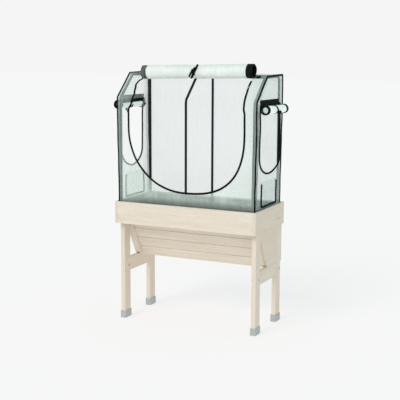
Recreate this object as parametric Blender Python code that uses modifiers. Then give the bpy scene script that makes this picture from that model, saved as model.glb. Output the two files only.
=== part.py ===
"""A raised wooden planter with a clear greenhouse cover on a tube frame.

Metres, +Z up, +X to the right of someone who faces the front, +Y to the back.
The origin is on the floor, in the middle of the planter.
"""

import math

import bmesh
import bpy

# Clearances
GAP = 0.0003
PIPING_GAP = 0.0005
HINGE_GAP = 0.0010

# Planter
PLANTER_WIDTH = 1.000
PLANTER_DEPTH = 0.490
PLANTER_HEIGHT = 0.800
FASCIA_HEIGHT = 0.145
FASCIA_BOARD = 0.014
LEG_WIDTH = 0.030
LEG_DEPTH = 0.075
LEG_SET_BACK = 0.0355
LEG_TOP_DROP = 0.056
FOOT_CAP_WALL = 0.003
FOOT_CAP_HEIGHT = 0.047
ARRIS = 0.0015

# Side stretchers and their bolts
STRETCHER_BOARD = 0.028
STRETCHER_LAP = 0.014
STRETCHER_HEIGHT = 0.090
STRETCHER_DROP = 0.395
BOLT_DROP = 0.053
BOLT_SHANK_RADIUS = 0.004
BOLT_HEAD_RADIUS = 0.009
BOLT_HEAD_DEPTH = 0.0035
BOLT_NUT_RADIUS = 0.0065
BOLT_NUT_DEPTH = 0.006
BOLT_LEG_SHARE = 0.74
BOLT_STEPS = 12

# Trough
SLOPE_FOOT_IN = 0.241
SLOPE_LEAN = math.radians(30.3)
SLAT_COUNT = 5
SLAT_TOP_DROP = 0.005
SLAT_SEAM = 0.0025
SLAT_BOARD = 0.012
TROUGH_FOOT_DROP = 0.005
BOTTOM_BOARD = 0.012
BACK_BOARD_COUNT = 2
BACK_BOARD_SEAM = 0.003
END_BOARD = 0.014
BATTEN_DEPTH = 0.035
BATTEN_WIDTH = 0.040
BATTEN_PROUD = 0.008
BATTEN_LEDGE = 0.016
LINER_CLOTH = 0.002
LINER_GAP = 0.0003
LINER_RIM_DROP = 0.002
LINER_FLAP_RISE = 0.046

# Cover
COVER_SIDE_REVEAL = 0.0045
COVER_FRONT_REVEAL = 0.0145
COVER_BACK_REVEAL = 0.0225
COVER_KNEE_RISE = 0.6805
COVER_TOP_RISE = 0.8325
COVER_CREST_BACK = 0.1665
COVER_SKIRT_DROP = 0.043
COVER_BEND = 0.012
COVER_SHEET = 0.0015
CORNER_PIPING_RADIUS = 0.0035
PIPING_RADIUS = 0.003

# Door opening in the front and its rolled flap
DOOR_SIDE_MARGIN = 0.0765
DOOR_SILL_RISE = 0.085
DOOR_ROUND_HEIGHT = 0.415
DOOR_ROUND_LEFT = 2.1
DOOR_ROUND_RIGHT = 2.7
DOOR_SLACK_LEFT = ((-0.526, 0.0), (-0.197, 0.021), (0.099, 0.030), (0.342, 0.017),
                   (0.539, 0.007), (0.658, 0.012), (0.789, 0.036))
DOOR_SLACK_RIGHT = ((-0.526, 0.0), (-0.289, 0.006), (0.0, 0.003), (0.257, 0.009),
                    (0.579, 0.015), (0.789, 0.013))
DOOR_FLAP_INSET = 0.0145
DOOR_ROLL_RADIUS = 0.047
DOOR_ROLL_PITCH = 0.0055
DOOR_ROLL_SHIFT = 0.0325
DOOR_TAIL = 0.0204
DOOR_TAIL_SKEW = 0.0160
DOOR_TAIL_SET_BACK = 0.002
DOOR_STRAP_HALF_WIDTH = 0.006
DOOR_STRAP_LEAN = 0.048
DOOR_KNOT_RADIUS = 0.009

# Vents in the sides and their rolled flaps
VENT_FRONT_MARGIN = 0.0445
VENT_BACK_MARGIN = 0.0675
VENT_FOOT_SPREAD_LEFT = -0.028
VENT_FOOT_SPREAD_RIGHT = 0.042
VENT_LEAN_STEPS = 6
VENT_LEAN_CURVE = 1.5
VENT_HEAD_DROP = 0.0285
VENT_HEIGHT = 0.434
VENT_ROUND_HEIGHT = 0.110
VENT_BAND_HEIGHT = 0.031
VENT_BAND_LAP = 0.006
VENT_BAND_CLOTH = 0.0018
VENT_FLAP_FOOT_LAP = 0.012
VENT_FLAP_INSET = 0.005
VENT_FLAP_BACK_LAP = 0.034
VENT_SHEET = 0.0012
VENT_ROLL_RADIUS = 0.027
VENT_ROLL_PITCH = 0.0023
VENT_TAIL = 0.0325
VENT_TIE_FROM_BACK = 0.141
VENT_TIE_HALF_WIDTH = 0.0045
VENT_KNOT_RADIUS = 0.007

# Access flaps low in the sides
FLAP_HALF_WIDTH = 0.122
FLAP_CENTRE_Y = 0.004
FLAP_SILL_RISE = 0.015
FLAP_HEIGHT = 0.157
FLAP_CORNER = 0.010

# Tube frame
TUBE_RADIUS = 0.008
TUBE_BEND = 0.040
STRAP_CLOTH = 0.0012

# Facets and shares of a turn
FLAP_END_SHARE = 0.985
STRAP_TURN_STEPS = (3, 19)
SPIRAL_STEPS = 20
ARC_STEPS = 5
ROUND_STEPS = 14
SLACK_STEPS = 18

SIDES = (("left", -1), ("right", 1))

# Places worked out from the sizes
ring_x = PLANTER_WIDTH / 2 - FASCIA_BOARD
ring_y = PLANTER_DEPTH / 2 - FASCIA_BOARD
leg_top = PLANTER_HEIGHT - LEG_TOP_DROP
fascia_foot = PLANTER_HEIGHT - FASCIA_HEIGHT
leg_out = ring_x - GAP
leg_in = leg_out - LEG_WIDTH
front_leg_y = -ring_y + LEG_SET_BACK
rear_leg_y = ring_y - GAP - LEG_DEPTH
stretcher_out = leg_in + STRETCHER_BOARD
lap_out = leg_in + STRETCHER_LAP
stretcher_top = PLANTER_HEIGHT - STRETCHER_DROP
batten_out = stretcher_out - END_BOARD - GAP
batten_in = batten_out - BATTEN_WIDTH
ledge_in = leg_in - BATTEN_LEDGE
board_top = stretcher_top + GAP + BOTTOM_BOARD
bolt_z = stretcher_top - BOLT_DROP
slope_foot_y = SLOPE_FOOT_IN - ring_y
slope_foot_z = stretcher_top - TROUGH_FOOT_DROP
cover_x = ring_x - COVER_SIDE_REVEAL
cover_front = -ring_y + COVER_FRONT_REVEAL
cover_back = ring_y - COVER_BACK_REVEAL
door_half = cover_x - DOOR_SIDE_MARGIN
knee_z = PLANTER_HEIGHT + COVER_KNEE_RISE
cover_top = PLANTER_HEIGHT + COVER_TOP_RISE
crest_y = cover_front + COVER_CREST_BACK
skirt_z = PLANTER_HEIGHT - COVER_SKIRT_DROP
tube_inset = PIPING_RADIUS + PIPING_GAP + TUBE_RADIUS
hoop_x = cover_x - tube_inset
rail_z = leg_top + GAP + TUBE_RADIUS


def clear_scene():
    """Remove what the scene holds."""
    for obj in list(bpy.data.objects):
        bpy.data.objects.remove(obj, do_unlink=True)


def new_collection(name):
    """A collection linked to the scene."""
    made = bpy.data.collections.new(name)
    bpy.context.scene.collection.children.link(made)
    return made


clear_scene()
PARTS = new_collection("raised_planter_greenhouse")
CUTTERS = new_collection("cutters")

# Colour, roughness, metallic and alpha of each finish
WOOD = ((0.73, 0.64, 0.52), 0.75, 0.0, 1.0)
CAP = ((0.47, 0.49, 0.49), 0.55, 0.0, 1.0)
STEEL = ((0.55, 0.55, 0.56), 0.35, 1.0, 1.0)
LINER = ((0.03, 0.035, 0.035), 0.9, 0.0, 1.0)
TUBE = ((0.012, 0.014, 0.015), 0.4, 0.3, 1.0)
CLEAR = ((0.75, 0.85, 0.82), 0.15, 0.0, 0.35)
BINDING = ((0.008, 0.012, 0.012), 0.7, 0.0, 1.0)


def finish(obj, name, look, parent=None):
    """Name the object, give it its material, its collection and its parent."""
    obj.name = name
    obj.data.name = name
    colour, roughness, metallic, alpha = look
    made = bpy.data.materials.new(name)
    made.use_nodes = True
    shader = made.node_tree.nodes["Principled BSDF"]
    shader.inputs["Base Color"].default_value = (*colour, 1.0)
    shader.inputs["Roughness"].default_value = roughness
    shader.inputs["Metallic"].default_value = metallic
    shader.inputs["Alpha"].default_value = alpha
    obj.data.materials.clear()
    obj.data.materials.append(made)
    for held in list(obj.users_collection):
        held.objects.unlink(obj)
    PARTS.objects.link(obj)
    if parent is not None:
        obj.parent = parent
        bpy.context.view_layer.update()
        obj.matrix_parent_inverse = parent.matrix_world.inverted()
    return obj


def pivot(name, place, parent=None):
    """An empty on a joint's axis, which carries what moves there."""
    made = bpy.data.objects.new(name, None)
    made.empty_display_size = 0.05
    PARTS.objects.link(made)
    made.location = place
    if parent is not None:
        made.parent = parent
        made.matrix_parent_inverse = parent.matrix_world.inverted()
    bpy.context.view_layer.update()
    return made


def solid_box(low, high):
    """A box primitive between two corners, with its scale applied."""
    middle = [(a + b) / 2 for a, b in zip(low, high)]
    bpy.ops.mesh.primitive_cube_add(size=1.0, location=middle)
    obj = bpy.context.object
    obj.scale = [b - a for a, b in zip(low, high)]
    bpy.ops.object.transform_apply(location=False, rotation=False, scale=True)
    return obj


def ease_edges(obj):
    """Break the sharp edges of a sawn board."""
    bevel = obj.modifiers.new("arris", "BEVEL")
    bevel.width = ARRIS
    bevel.segments = 1
    bevel.limit_method = "ANGLE"


def board(name, low, high):
    """A sawn board with eased edges."""
    obj = solid_box(low, high)
    ease_edges(obj)
    finish(obj, name, WOOD)


def side_span(side, inner, outer):
    """The low and high X of a piece between two distances from the middle."""
    return sorted((side * inner, side * outer))


def poly_curve(name, loops, dimensions, cyclic):
    """A curve object of straight-pointed splines."""
    data = bpy.data.curves.new(name, "CURVE")
    data.dimensions = dimensions
    for loop in loops:
        spline = data.splines.new("POLY")
        spline.points.add(len(loop) - 1)
        for point, place in zip(spline.points, loop):
            point.co = (*place, 1.0)
        spline.use_cyclic_u = cyclic
    obj = bpy.data.objects.new(name, data)
    bpy.context.scene.collection.objects.link(obj)
    return obj


def as_mesh(curve):
    """Turn a curve object into a welded mesh object at the same place."""
    bpy.context.view_layer.update()
    held = bpy.context.evaluated_depsgraph_get()
    data = bpy.data.meshes.new_from_object(curve.evaluated_get(held))
    grid = bmesh.new()
    grid.from_mesh(data)
    bmesh.ops.remove_doubles(grid, verts=grid.verts, dist=0.00001)
    bmesh.ops.recalc_face_normals(grid, faces=grid.faces)
    grid.to_mesh(data)
    grid.free()
    name = curve.name
    place = curve.matrix_world.copy()
    bpy.data.objects.remove(curve, do_unlink=True)
    obj = bpy.data.objects.new(name, data)
    obj.matrix_world = place
    bpy.context.scene.collection.objects.link(obj)
    return obj


def rod(name, path, radius, resolution=3):
    """A round rod along a path, as a mesh."""
    curve = poly_curve(name, [path], "3D", False)
    curve.data.bevel_depth = radius
    curve.data.bevel_resolution = resolution
    curve.data.use_fill_caps = True
    obj = as_mesh(curve)
    obj.data.shade_smooth()
    obj.data.set_sharp_from_angle(angle=math.radians(40))
    return obj


def plate(name, loops, thickness, turn, place):
    """A flat plate from its outline, with any holes, turned to its plane."""
    flat = [[(a, b, 0.0) for a, b in loop] for loop in loops]
    curve = poly_curve(name, flat, "2D", True)
    curve.data.fill_mode = "BOTH"
    curve.data.extrude = thickness / 2
    curve.rotation_euler = turn
    curve.location = place
    return as_mesh(curve)


FACING_SIDE = (math.pi / 2, 0.0, math.pi / 2)
FACING_FRONT = (math.pi / 2, 0.0, 0.0)


def ribbon(name, rim, far_rim, thickness):
    """A thin sheet stretched between two rims, thickened to both sides."""
    grid = bmesh.new()
    first = [grid.verts.new(place) for place in rim]
    edges = [grid.edges.new(pair) for pair in zip(first, first[1:])]
    bmesh.ops.extrude_edge_only(grid, edges=edges)
    grid.verts.ensure_lookup_table()
    for vert, place in zip(grid.verts[len(rim):], far_rim):
        vert.co = place
    bmesh.ops.recalc_face_normals(grid, faces=grid.faces)
    data = bpy.data.meshes.new(name)
    grid.to_mesh(data)
    grid.free()
    obj = bpy.data.objects.new(name, data)
    bpy.context.scene.collection.objects.link(obj)
    thicken(obj, thickness)
    return obj


def thicken(obj, thickness, offset=0.0):
    """Give an open surface its wall."""
    wall = obj.modifiers.new("wall", "SOLIDIFY")
    wall.thickness = thickness
    wall.offset = offset
    wall.use_even_offset = True


def cutter(obj):
    """Keep an object as a cutter that isn't part of the model."""
    for held in list(obj.users_collection):
        held.objects.unlink(obj)
    CUTTERS.objects.link(obj)
    obj.hide_render = True
    obj.display_type = "WIRE"
    return obj


def combine(obj, tool, operation):
    """Cut an object with a tool, or join them."""
    joint = obj.modifiers.new(operation.lower(), "BOOLEAN")
    joint.operation = operation
    joint.solver = "EXACT"
    joint.object = cutter(tool)


def offset_path(path, distance):
    """A path moved to its right by a distance, with mitred corners."""
    units = []
    for (a0, b0), (a1, b1) in zip(path, path[1:]):
        length = math.hypot(a1 - a0, b1 - b0)
        units.append(((b1 - b0) / length, -(a1 - a0) / length))
    moved = []
    for index, (a, b) in enumerate(path):
        before = units[max(index - 1, 0)]
        after = units[min(index, len(units) - 1)]
        mitre = 1.0 + before[0] * after[0] + before[1] * after[1]
        moved.append((a + distance * (before[0] + after[0]) / mitre,
                      b + distance * (before[1] + after[1]) / mitre))
    return moved


def round_corners(path, radius, steps=ARC_STEPS):
    """A path whose inner corners are arcs."""
    rounded = [path[0]]
    for (a0, b0), (a1, b1), (a2, b2) in zip(path, path[1:], path[2:]):
        back = math.atan2(b0 - b1, a0 - a1)
        ahead = math.atan2(b2 - b1, a2 - a1)
        turn = math.pi - abs((ahead - back + math.pi) % (2 * math.pi) - math.pi)
        reach = radius * math.tan(turn / 2)
        start = (a1 + reach * math.cos(back), b1 + reach * math.sin(back))
        end = (a1 + reach * math.cos(ahead), b1 + reach * math.sin(ahead))
        middle = math.hypot(start[0] + end[0] - 2 * a1, start[1] + end[1] - 2 * b1)
        far = radius / math.cos(turn / 2)
        centre = (a1 + far * (start[0] + end[0] - 2 * a1) / middle,
                  b1 + far * (start[1] + end[1] - 2 * b1) / middle)
        first = math.atan2(start[1] - centre[1], start[0] - centre[0])
        last = math.atan2(end[1] - centre[1], end[0] - centre[0])
        sweep = (last - first + math.pi) % (2 * math.pi) - math.pi
        for step in range(steps + 1):
            angle = first + sweep * step / steps
            rounded.append((centre[0] + radius * math.cos(angle),
                            centre[1] + radius * math.sin(angle)))
    rounded.append(path[-1])
    return rounded


def slope_y(height, inset=0.0):
    """The Y of the sloping front at a height, some way behind its outer face."""
    rise = height - slope_foot_z
    return slope_foot_y - rise * math.tan(SLOPE_LEAN) + inset / math.cos(SLOPE_LEAN)


def x_rod(radius, low, high, y, z):
    """A round cutter along X."""
    bpy.ops.mesh.primitive_cylinder_add(
        vertices=BOLT_STEPS, radius=radius, depth=high - low,
        location=((low + high) / 2, y, z), rotation=(0.0, math.pi / 2, 0.0))
    return bpy.context.object


# Planter

def bolt_ys():
    """The Y of the front and the rear bolt."""
    reach = LEG_DEPTH * BOLT_LEG_SHARE
    return (("front", front_leg_y + reach), ("rear", rear_leg_y + reach))


def legs():
    """Four upright legs, each in a moulded foot cap."""
    for side_name, side in SIDES:
        low_x, high_x = side_span(side, leg_in, leg_out)
        for (end, bolt_y), y in zip(bolt_ys(), (front_leg_y, rear_leg_y)):
            name = f"leg_{end}_{side_name}"
            leg = solid_box((low_x, y, FOOT_CAP_WALL + GAP), (high_x, y + LEG_DEPTH, leg_top))
            ease_edges(leg)
            low, high = side_span(side, leg_in - BOLT_NUT_DEPTH, lap_out + GAP)
            notch = solid_box((low, y - LEG_DEPTH, stretcher_top - STRETCHER_HEIGHT - GAP),
                              (high, y + 2 * LEG_DEPTH, stretcher_top + GAP))
            combine(leg, notch, "DIFFERENCE")
            low, high = side_span(side, leg_in, leg_out + BOLT_NUT_DEPTH)
            hole = x_rod(BOLT_SHANK_RADIUS + GAP, low, high, bolt_y, bolt_z)
            combine(leg, hole, "DIFFERENCE")
            finish(leg, name, WOOD)
            foot_cap(f"foot_cap_{end}_{side_name}", (low_x, y), (high_x, y + LEG_DEPTH))


def foot_cap(name, low, high):
    """A cap that the leg stands in: an open box with a wall outside it."""
    cap = solid_box((low[0] - GAP, low[1] - GAP, FOOT_CAP_WALL),
                    (high[0] + GAP, high[1] + GAP, FOOT_CAP_HEIGHT))
    grid = bmesh.new()
    grid.from_mesh(cap.data)
    lid = [face for face in grid.faces if face.normal.z > 0.5]
    bmesh.ops.delete(grid, geom=lid, context="FACES")
    grid.to_mesh(cap.data)
    grid.free()
    thicken(cap, FOOT_CAP_WALL, offset=1.0)
    finish(cap, name, CAP)


def stretchers():
    """A board between each pair of legs, half-lapped into the legs' inner faces."""
    foot = stretcher_top - STRETCHER_HEIGHT
    for side_name, side in SIDES:
        low_x, high_x = side_span(side, leg_in, stretcher_out)
        bar = solid_box((low_x, front_leg_y, foot), (high_x, rear_leg_y + LEG_DEPTH, stretcher_top))
        ease_edges(bar)
        low, high = side_span(side, lap_out, leg_out + BOLT_NUT_DEPTH)
        for (_, bolt_y), y in zip(bolt_ys(), (front_leg_y, rear_leg_y)):
            lap = solid_box((low, y - GAP, foot - BOLT_NUT_DEPTH),
                            (high, y + LEG_DEPTH + GAP, stretcher_top + BOLT_NUT_DEPTH))
            combine(bar, lap, "DIFFERENCE")
            low_hole, high_hole = side_span(side, leg_in - BOLT_NUT_DEPTH, leg_out)
            hole = x_rod(BOLT_SHANK_RADIUS + GAP, low_hole, high_hole, bolt_y, bolt_z)
            combine(bar, hole, "DIFFERENCE")
        finish(bar, f"stretcher_{side_name}", WOOD)


def bolts():
    """Bolts through legs and stretchers: a domed head, a shank and a cap nut."""
    nut = -LEG_WIDTH - GAP
    profile = ((0.0, BOLT_HEAD_DEPTH), (BOLT_HEAD_RADIUS * 0.6, BOLT_HEAD_DEPTH),
               (BOLT_HEAD_RADIUS, BOLT_HEAD_DEPTH * 0.4), (BOLT_HEAD_RADIUS, GAP),
               (BOLT_SHANK_RADIUS, GAP), (BOLT_SHANK_RADIUS, nut),
               (BOLT_NUT_RADIUS, nut), (BOLT_NUT_RADIUS, nut - BOLT_NUT_DEPTH * 0.6),
               (BOLT_NUT_RADIUS * 0.6, nut - BOLT_NUT_DEPTH), (0.0, nut - BOLT_NUT_DEPTH))
    for side_name, side in SIDES:
        for end, y in bolt_ys():
            name = f"stretcher_bolt_{end}_{side_name}"
            data = bpy.data.meshes.new(name)
            chain = [(index, index + 1) for index in range(len(profile) - 1)]
            data.from_pydata([(r, 0.0, z) for r, z in profile], chain, [])
            bolt = bpy.data.objects.new(name, data)
            bpy.context.scene.collection.objects.link(bolt)
            turn = bolt.modifiers.new("turned", "SCREW")
            turn.steps = turn.render_steps = BOLT_STEPS
            turn.use_merge_vertices = True
            turn.merge_threshold = 0.00005
            bolt.rotation_euler = (0.0, side * math.pi / 2, 0.0)
            bolt.location = (side * leg_out, y, bolt_z)
            finish(bolt, name, STEEL)


def fascias():
    """The ring of boards round the top of the planter."""
    half_x = PLANTER_WIDTH / 2
    half_y = PLANTER_DEPTH / 2
    end = ring_x - GAP
    board("fascia_front", (-end, -half_y, fascia_foot), (end, -ring_y, PLANTER_HEIGHT))
    board("fascia_rear", (-end, ring_y, fascia_foot), (end, half_y, PLANTER_HEIGHT))
    for side_name, side in SIDES:
        low_x, high_x = side_span(side, ring_x, half_x)
        board(f"fascia_{side_name}", (low_x, -half_y, fascia_foot),
              (high_x, half_y, PLANTER_HEIGHT))


def front_slats():
    """Boards on the slope, counted from the top."""
    run = (leg_top - SLAT_TOP_DROP - slope_foot_z) / math.cos(SLOPE_LEAN)
    pitch = (run + SLAT_SEAM) / SLAT_COUNT
    width = pitch - SLAT_SEAM
    half = leg_in - GAP
    for index in range(SLAT_COUNT):
        along = index * pitch + width / 2
        slat = solid_box((-half, -SLAT_BOARD / 2, -width / 2), (half, SLAT_BOARD / 2, width / 2))
        ease_edges(slat)
        slat.rotation_euler = (SLOPE_LEAN, 0.0, 0.0)
        slat.location = (
            0.0,
            slope_foot_y - along * math.sin(SLOPE_LEAN) + SLAT_BOARD / 2 * math.cos(SLOPE_LEAN),
            slope_foot_z + along * math.cos(SLOPE_LEAN) + SLAT_BOARD / 2 * math.sin(SLOPE_LEAN))
        finish(slat, f"front_slat_{SLAT_COUNT - index}", WOOD)


def trough_boards():
    """The boards of the trough's upright back and of its bottom."""
    back_pitch = (fascia_foot - slope_foot_z) / BACK_BOARD_COUNT
    for index in range(BACK_BOARD_COUNT):
        low_z = slope_foot_z + index * back_pitch
        board(f"back_board_{BACK_BOARD_COUNT - index}", (-leg_out, ring_y, low_z),
              (leg_out, PLANTER_DEPTH / 2, low_z + back_pitch - BACK_BOARD_SEAM))
    front = slope_y(stretcher_top + GAP, SLAT_BOARD + GAP)
    rear = ring_y - GAP
    middle = (front + rear) / 2
    level = stretcher_top + GAP
    board("bottom_board_front", (-batten_out, front, level),
          (batten_out, middle - BACK_BOARD_SEAM / 2, board_top))
    last = solid_box((-batten_out, middle + BACK_BOARD_SEAM / 2, level),
                     (batten_out, rear, board_top))
    ease_edges(last)
    for _, side in SIDES:
        combine(last, leg_room(side, rear_leg_y), "DIFFERENCE")
    finish(last, "bottom_board_rear", WOOD)


def leg_room(side, y):
    """A cutter that leaves room for the leg which starts at a Y."""
    low, high = side_span(side, leg_in - GAP, leg_out + LEG_WIDTH)
    return solid_box((low, y - GAP, 0.0), (high, y + LEG_DEPTH + GAP, PLANTER_HEIGHT))


def trough_ends():
    """End panels, and the battens that hold the slats in a groove."""
    rear = rear_leg_y - GAP
    foot = stretcher_top + GAP
    panel = ((slope_y(foot), foot), (rear, foot), (rear, leg_top), (slope_y(leg_top), leg_top))
    foot = board_top + GAP
    batten = ((slope_y(foot, -BATTEN_PROUD), foot), (slope_y(foot, BATTEN_DEPTH), foot),
              (slope_y(leg_top, BATTEN_DEPTH), leg_top), (slope_y(leg_top, -BATTEN_PROUD), leg_top))
    low_z = foot - BATTEN_DEPTH
    high_z = leg_top + BATTEN_DEPTH
    groove = ((slope_y(low_z, -GAP), low_z), (slope_y(low_z, SLAT_BOARD + GAP), low_z),
              (slope_y(high_z, SLAT_BOARD + GAP), high_z), (slope_y(high_z, -GAP), high_z))
    behind = ((slope_y(low_z, SLAT_BOARD), low_z), (slope_y(low_z, 2 * BATTEN_DEPTH), low_z),
              (slope_y(high_z, 2 * BATTEN_DEPTH), high_z), (slope_y(high_z, SLAT_BOARD), high_z))
    for side_name, side in SIDES:
        middle = side * (batten_out + GAP + END_BOARD / 2)
        end = plate(f"end_panel_{side_name}", [panel], END_BOARD, FACING_SIDE, (middle, 0.0, 0.0))
        combine(end, leg_room(side, front_leg_y), "DIFFERENCE")
        finish(end, end.name, WOOD)
        bar = plate(f"slope_batten_{side_name}", [batten], BATTEN_WIDTH, FACING_SIDE,
                    (side * (batten_in + batten_out) / 2, 0.0, 0.0))
        for loop, outer in ((groove, leg_in), (behind, ledge_in)):
            inner = batten_in - BATTEN_WIDTH
            cut = plate("slat_cutter", [loop], outer - inner, FACING_SIDE,
                        (side * (outer + inner) / 2, 0.0, 0.0))
            combine(bar, cut, "DIFFERENCE")
        combine(bar, leg_room(side, front_leg_y), "DIFFERENCE")
        finish(bar, bar.name, WOOD)


def liner():
    """The fabric trough liner, with a flap up the rear fascia."""
    half = ledge_in - LINER_GAP
    rim = leg_top - LINER_RIM_DROP
    foot = board_top + LINER_GAP
    rear = ring_y - GAP - LINER_GAP
    behind = SLAT_BOARD + LINER_GAP
    section = ((slope_y(rim, behind), rim), (slope_y(foot, behind), foot), (rear, foot), (rear, rim))
    grid = bmesh.new()
    face = grid.faces.new([grid.verts.new((-half, y, z)) for y, z in section])
    grown = bmesh.ops.extrude_face_region(grid, geom=[face])["geom"]
    for vert in (item for item in grown if isinstance(item, bmesh.types.BMVert)):
        vert.co.x = half
    bmesh.ops.recalc_face_normals(grid, faces=grid.faces)
    lid = [item for item in grid.faces if item.normal.z > 0.9]
    bmesh.ops.delete(grid, geom=lid, context="FACES")
    edge = [item for item in grid.edges
            if all(vert.co.y > rear - GAP and vert.co.z > rim - GAP for vert in item.verts)]
    for height in (leg_top + LINER_RIM_DROP, leg_top + LINER_FLAP_RISE):
        grown = bmesh.ops.extrude_edge_only(grid, edges=edge)["geom"]
        for vert in (item for item in grown if isinstance(item, bmesh.types.BMVert)):
            vert.co.z = height
        edge = [item for item in grown if isinstance(item, bmesh.types.BMEdge)
                and item.verts[0].co.z == item.verts[1].co.z]
    for _, side in SIDES:
        wing = [item for item in grid.edges
                if all(vert.co.x * side > half - GAP and vert.co.z > leg_top + GAP
                       for vert in item.verts)]
        grown = bmesh.ops.extrude_edge_only(grid, edges=wing)["geom"]
        for vert in (item for item in grown if isinstance(item, bmesh.types.BMVert)):
            vert.co.x = side * (ring_x - TUBE_RADIUS)
    bmesh.ops.recalc_face_normals(grid, faces=grid.faces)
    data = bpy.data.meshes.new("liner")
    grid.to_mesh(data)
    grid.free()
    obj = bpy.data.objects.new("liner", data)
    bpy.context.scene.collection.objects.link(obj)
    thicken(obj, LINER_CLOTH, offset=-1.0)
    finish(obj, "liner", LINER)


legs()
stretchers()
bolts()
fascias()
front_slats()
trough_boards()
trough_ends()
liner()


# Shape of the cover

def cover_section():
    """The cover's outline from the side: front, knee, crest, roof and back, in Y and Z."""
    sharp = ((cover_front, skirt_z), (cover_front, knee_z), (crest_y, cover_top),
             (cover_back, cover_top), (cover_back, skirt_z))
    return round_corners(sharp, COVER_BEND)


def front_y(height):
    """The Y of the front's middle surface at a height."""
    path = cover_section()
    for (y0, z0), (y1, z1) in zip(path, path[1:]):
        if z0 <= height <= z1:
            return y0 + (y1 - y0) * (height - z0) / (z1 - z0)
    return crest_y


def slack_inset(table, share):
    """How far a slack edge lies in at a share of the slope's rise, eased between its places."""
    for (share0, inset0), (share1, inset1) in zip(table, table[1:]):
        if share <= share1:
            way = (share - share0) / (share1 - share0)
            return inset0 + (inset1 - inset0) * (1.0 - math.cos(math.pi * way)) / 2
    return table[-1][1]


def door_line():
    """The door's edge in X and Z, from its left top down and up to its right top."""
    sill = PLANTER_HEIGHT + DOOR_SILL_RISE
    round_z = sill + DOOR_ROUND_HEIGHT
    slope_rise = cover_top - knee_z
    line = []
    for side, power, table in ((-1, DOOR_ROUND_LEFT, DOOR_SLACK_LEFT),
                               (1, DOOR_ROUND_RIGHT, DOOR_SLACK_RIGHT)):
        low, high = table[0][0], table[-1][0]
        half = []
        for step in range(SLACK_STEPS):
            share = high - (high - low) * step / SLACK_STEPS
            half.append((side * (door_half - slack_inset(table, share)),
                         knee_z + share * slope_rise))
        slack_foot = knee_z + low * slope_rise
        half.append((side * door_half, slack_foot))
        half.append((side * door_half, (slack_foot + round_z) / 2))
        for step in range(ROUND_STEPS):
            angle = math.pi / 2 * step / ROUND_STEPS
            half.append((side * door_half * math.cos(angle) ** (2 / power),
                         round_z - DOOR_ROUND_HEIGHT * math.sin(angle) ** (2 / power)))
        line = half + [(0.0, sill)] if side < 0 else line + half[::-1]
    return line


def vent_line(side):
    """A side's vent edge in Y and Z, from its front top down and up to its back top."""
    low_y = cover_front + VENT_FRONT_MARGIN
    high_y = cover_back - VENT_BACK_MARGIN
    foot_y = high_y + (VENT_FOOT_SPREAD_LEFT if side < 0 else VENT_FOOT_SPREAD_RIGHT)
    middle = (low_y + foot_y) / 2
    half = (foot_y - low_y) / 2
    head = knee_z - VENT_HEAD_DROP
    round_z = head - VENT_HEIGHT + VENT_ROUND_HEIGHT
    line = [(low_y, head + VENT_BAND_LAP)]
    for step in range(ROUND_STEPS + 1):
        angle = math.pi * step / ROUND_STEPS
        line.append((middle - half * math.cos(angle), round_z - VENT_ROUND_HEIGHT * math.sin(angle)))
    for step in range(1, VENT_LEAN_STEPS + 1):
        share = step / VENT_LEAN_STEPS
        line.append((foot_y + (high_y - foot_y) * share ** VENT_LEAN_CURVE, round_z + (head - round_z) * share))
    line.append((high_y, head + VENT_BAND_LAP))
    return line


def flap_line():
    """An access flap's edge in Y and Z, from its front top down and up to its back top."""
    low_y = FLAP_CENTRE_Y - FLAP_HALF_WIDTH
    high_y = FLAP_CENTRE_Y + FLAP_HALF_WIDTH
    foot = PLANTER_HEIGHT + FLAP_SILL_RISE
    top = foot + FLAP_HEIGHT
    return round_corners(((low_y, top), (low_y, foot), (high_y, foot), (high_y, top)), FLAP_CORNER)


def raised_ends(path, rise):
    """A path whose two ends stand higher."""
    (a0, b0), (a1, b1) = path[0], path[-1]
    return [(a0, b0 + rise)] + path + [(a1, b1 + rise)]


# Tube frame

def tube(name, path, parent):
    """A length of round tube."""
    return finish(rod(name, path, TUBE_RADIUS), name, TUBE, parent)


def frame(parent):
    """Three hoops that stand on a base ring, with rails between them at the top."""
    front = cover_front + tube_inset
    back = cover_back - tube_inset
    end = TUBE_RADIUS + GAP
    foot = rail_z + end
    sharp = ((cover_front, foot), (cover_front, knee_z), (crest_y, cover_top),
             (cover_back, cover_top), (cover_back, foot))
    path = round_corners(offset_path(sharp, tube_inset), TUBE_BEND)
    for name, x in (("left", -hoop_x), ("centre", 0.0), ("right", hoop_x)):
        tube(f"hoop_{name}", [(x, y, z) for y, z in path], parent)
    reach = hoop_x + TUBE_RADIUS
    for name, y in (("front", front), ("rear", back)):
        tube(f"base_rail_{name}", [(-reach, y, rail_z), (reach, y, rail_z)], parent)
    for name, side in SIDES:
        x = side * hoop_x
        tube(f"base_rail_{name}", [(x, front + end, rail_z), (x, back - end, rail_z)], parent)
    crest_end = path[2 * (ARC_STEPS + 1)]
    back_start = path[2 * (ARC_STEPS + 1) + 1]
    for name, y in (("front", crest_end[0] + TUBE_RADIUS), ("rear", back_start[0] - TUBE_RADIUS)):
        for side_name, side in SIDES:
            tube(f"top_rail_{name}_{side_name}",
                 [(side * end, y, crest_end[1]), (side * (hoop_x - end), y, crest_end[1])], parent)


# Cover

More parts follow.
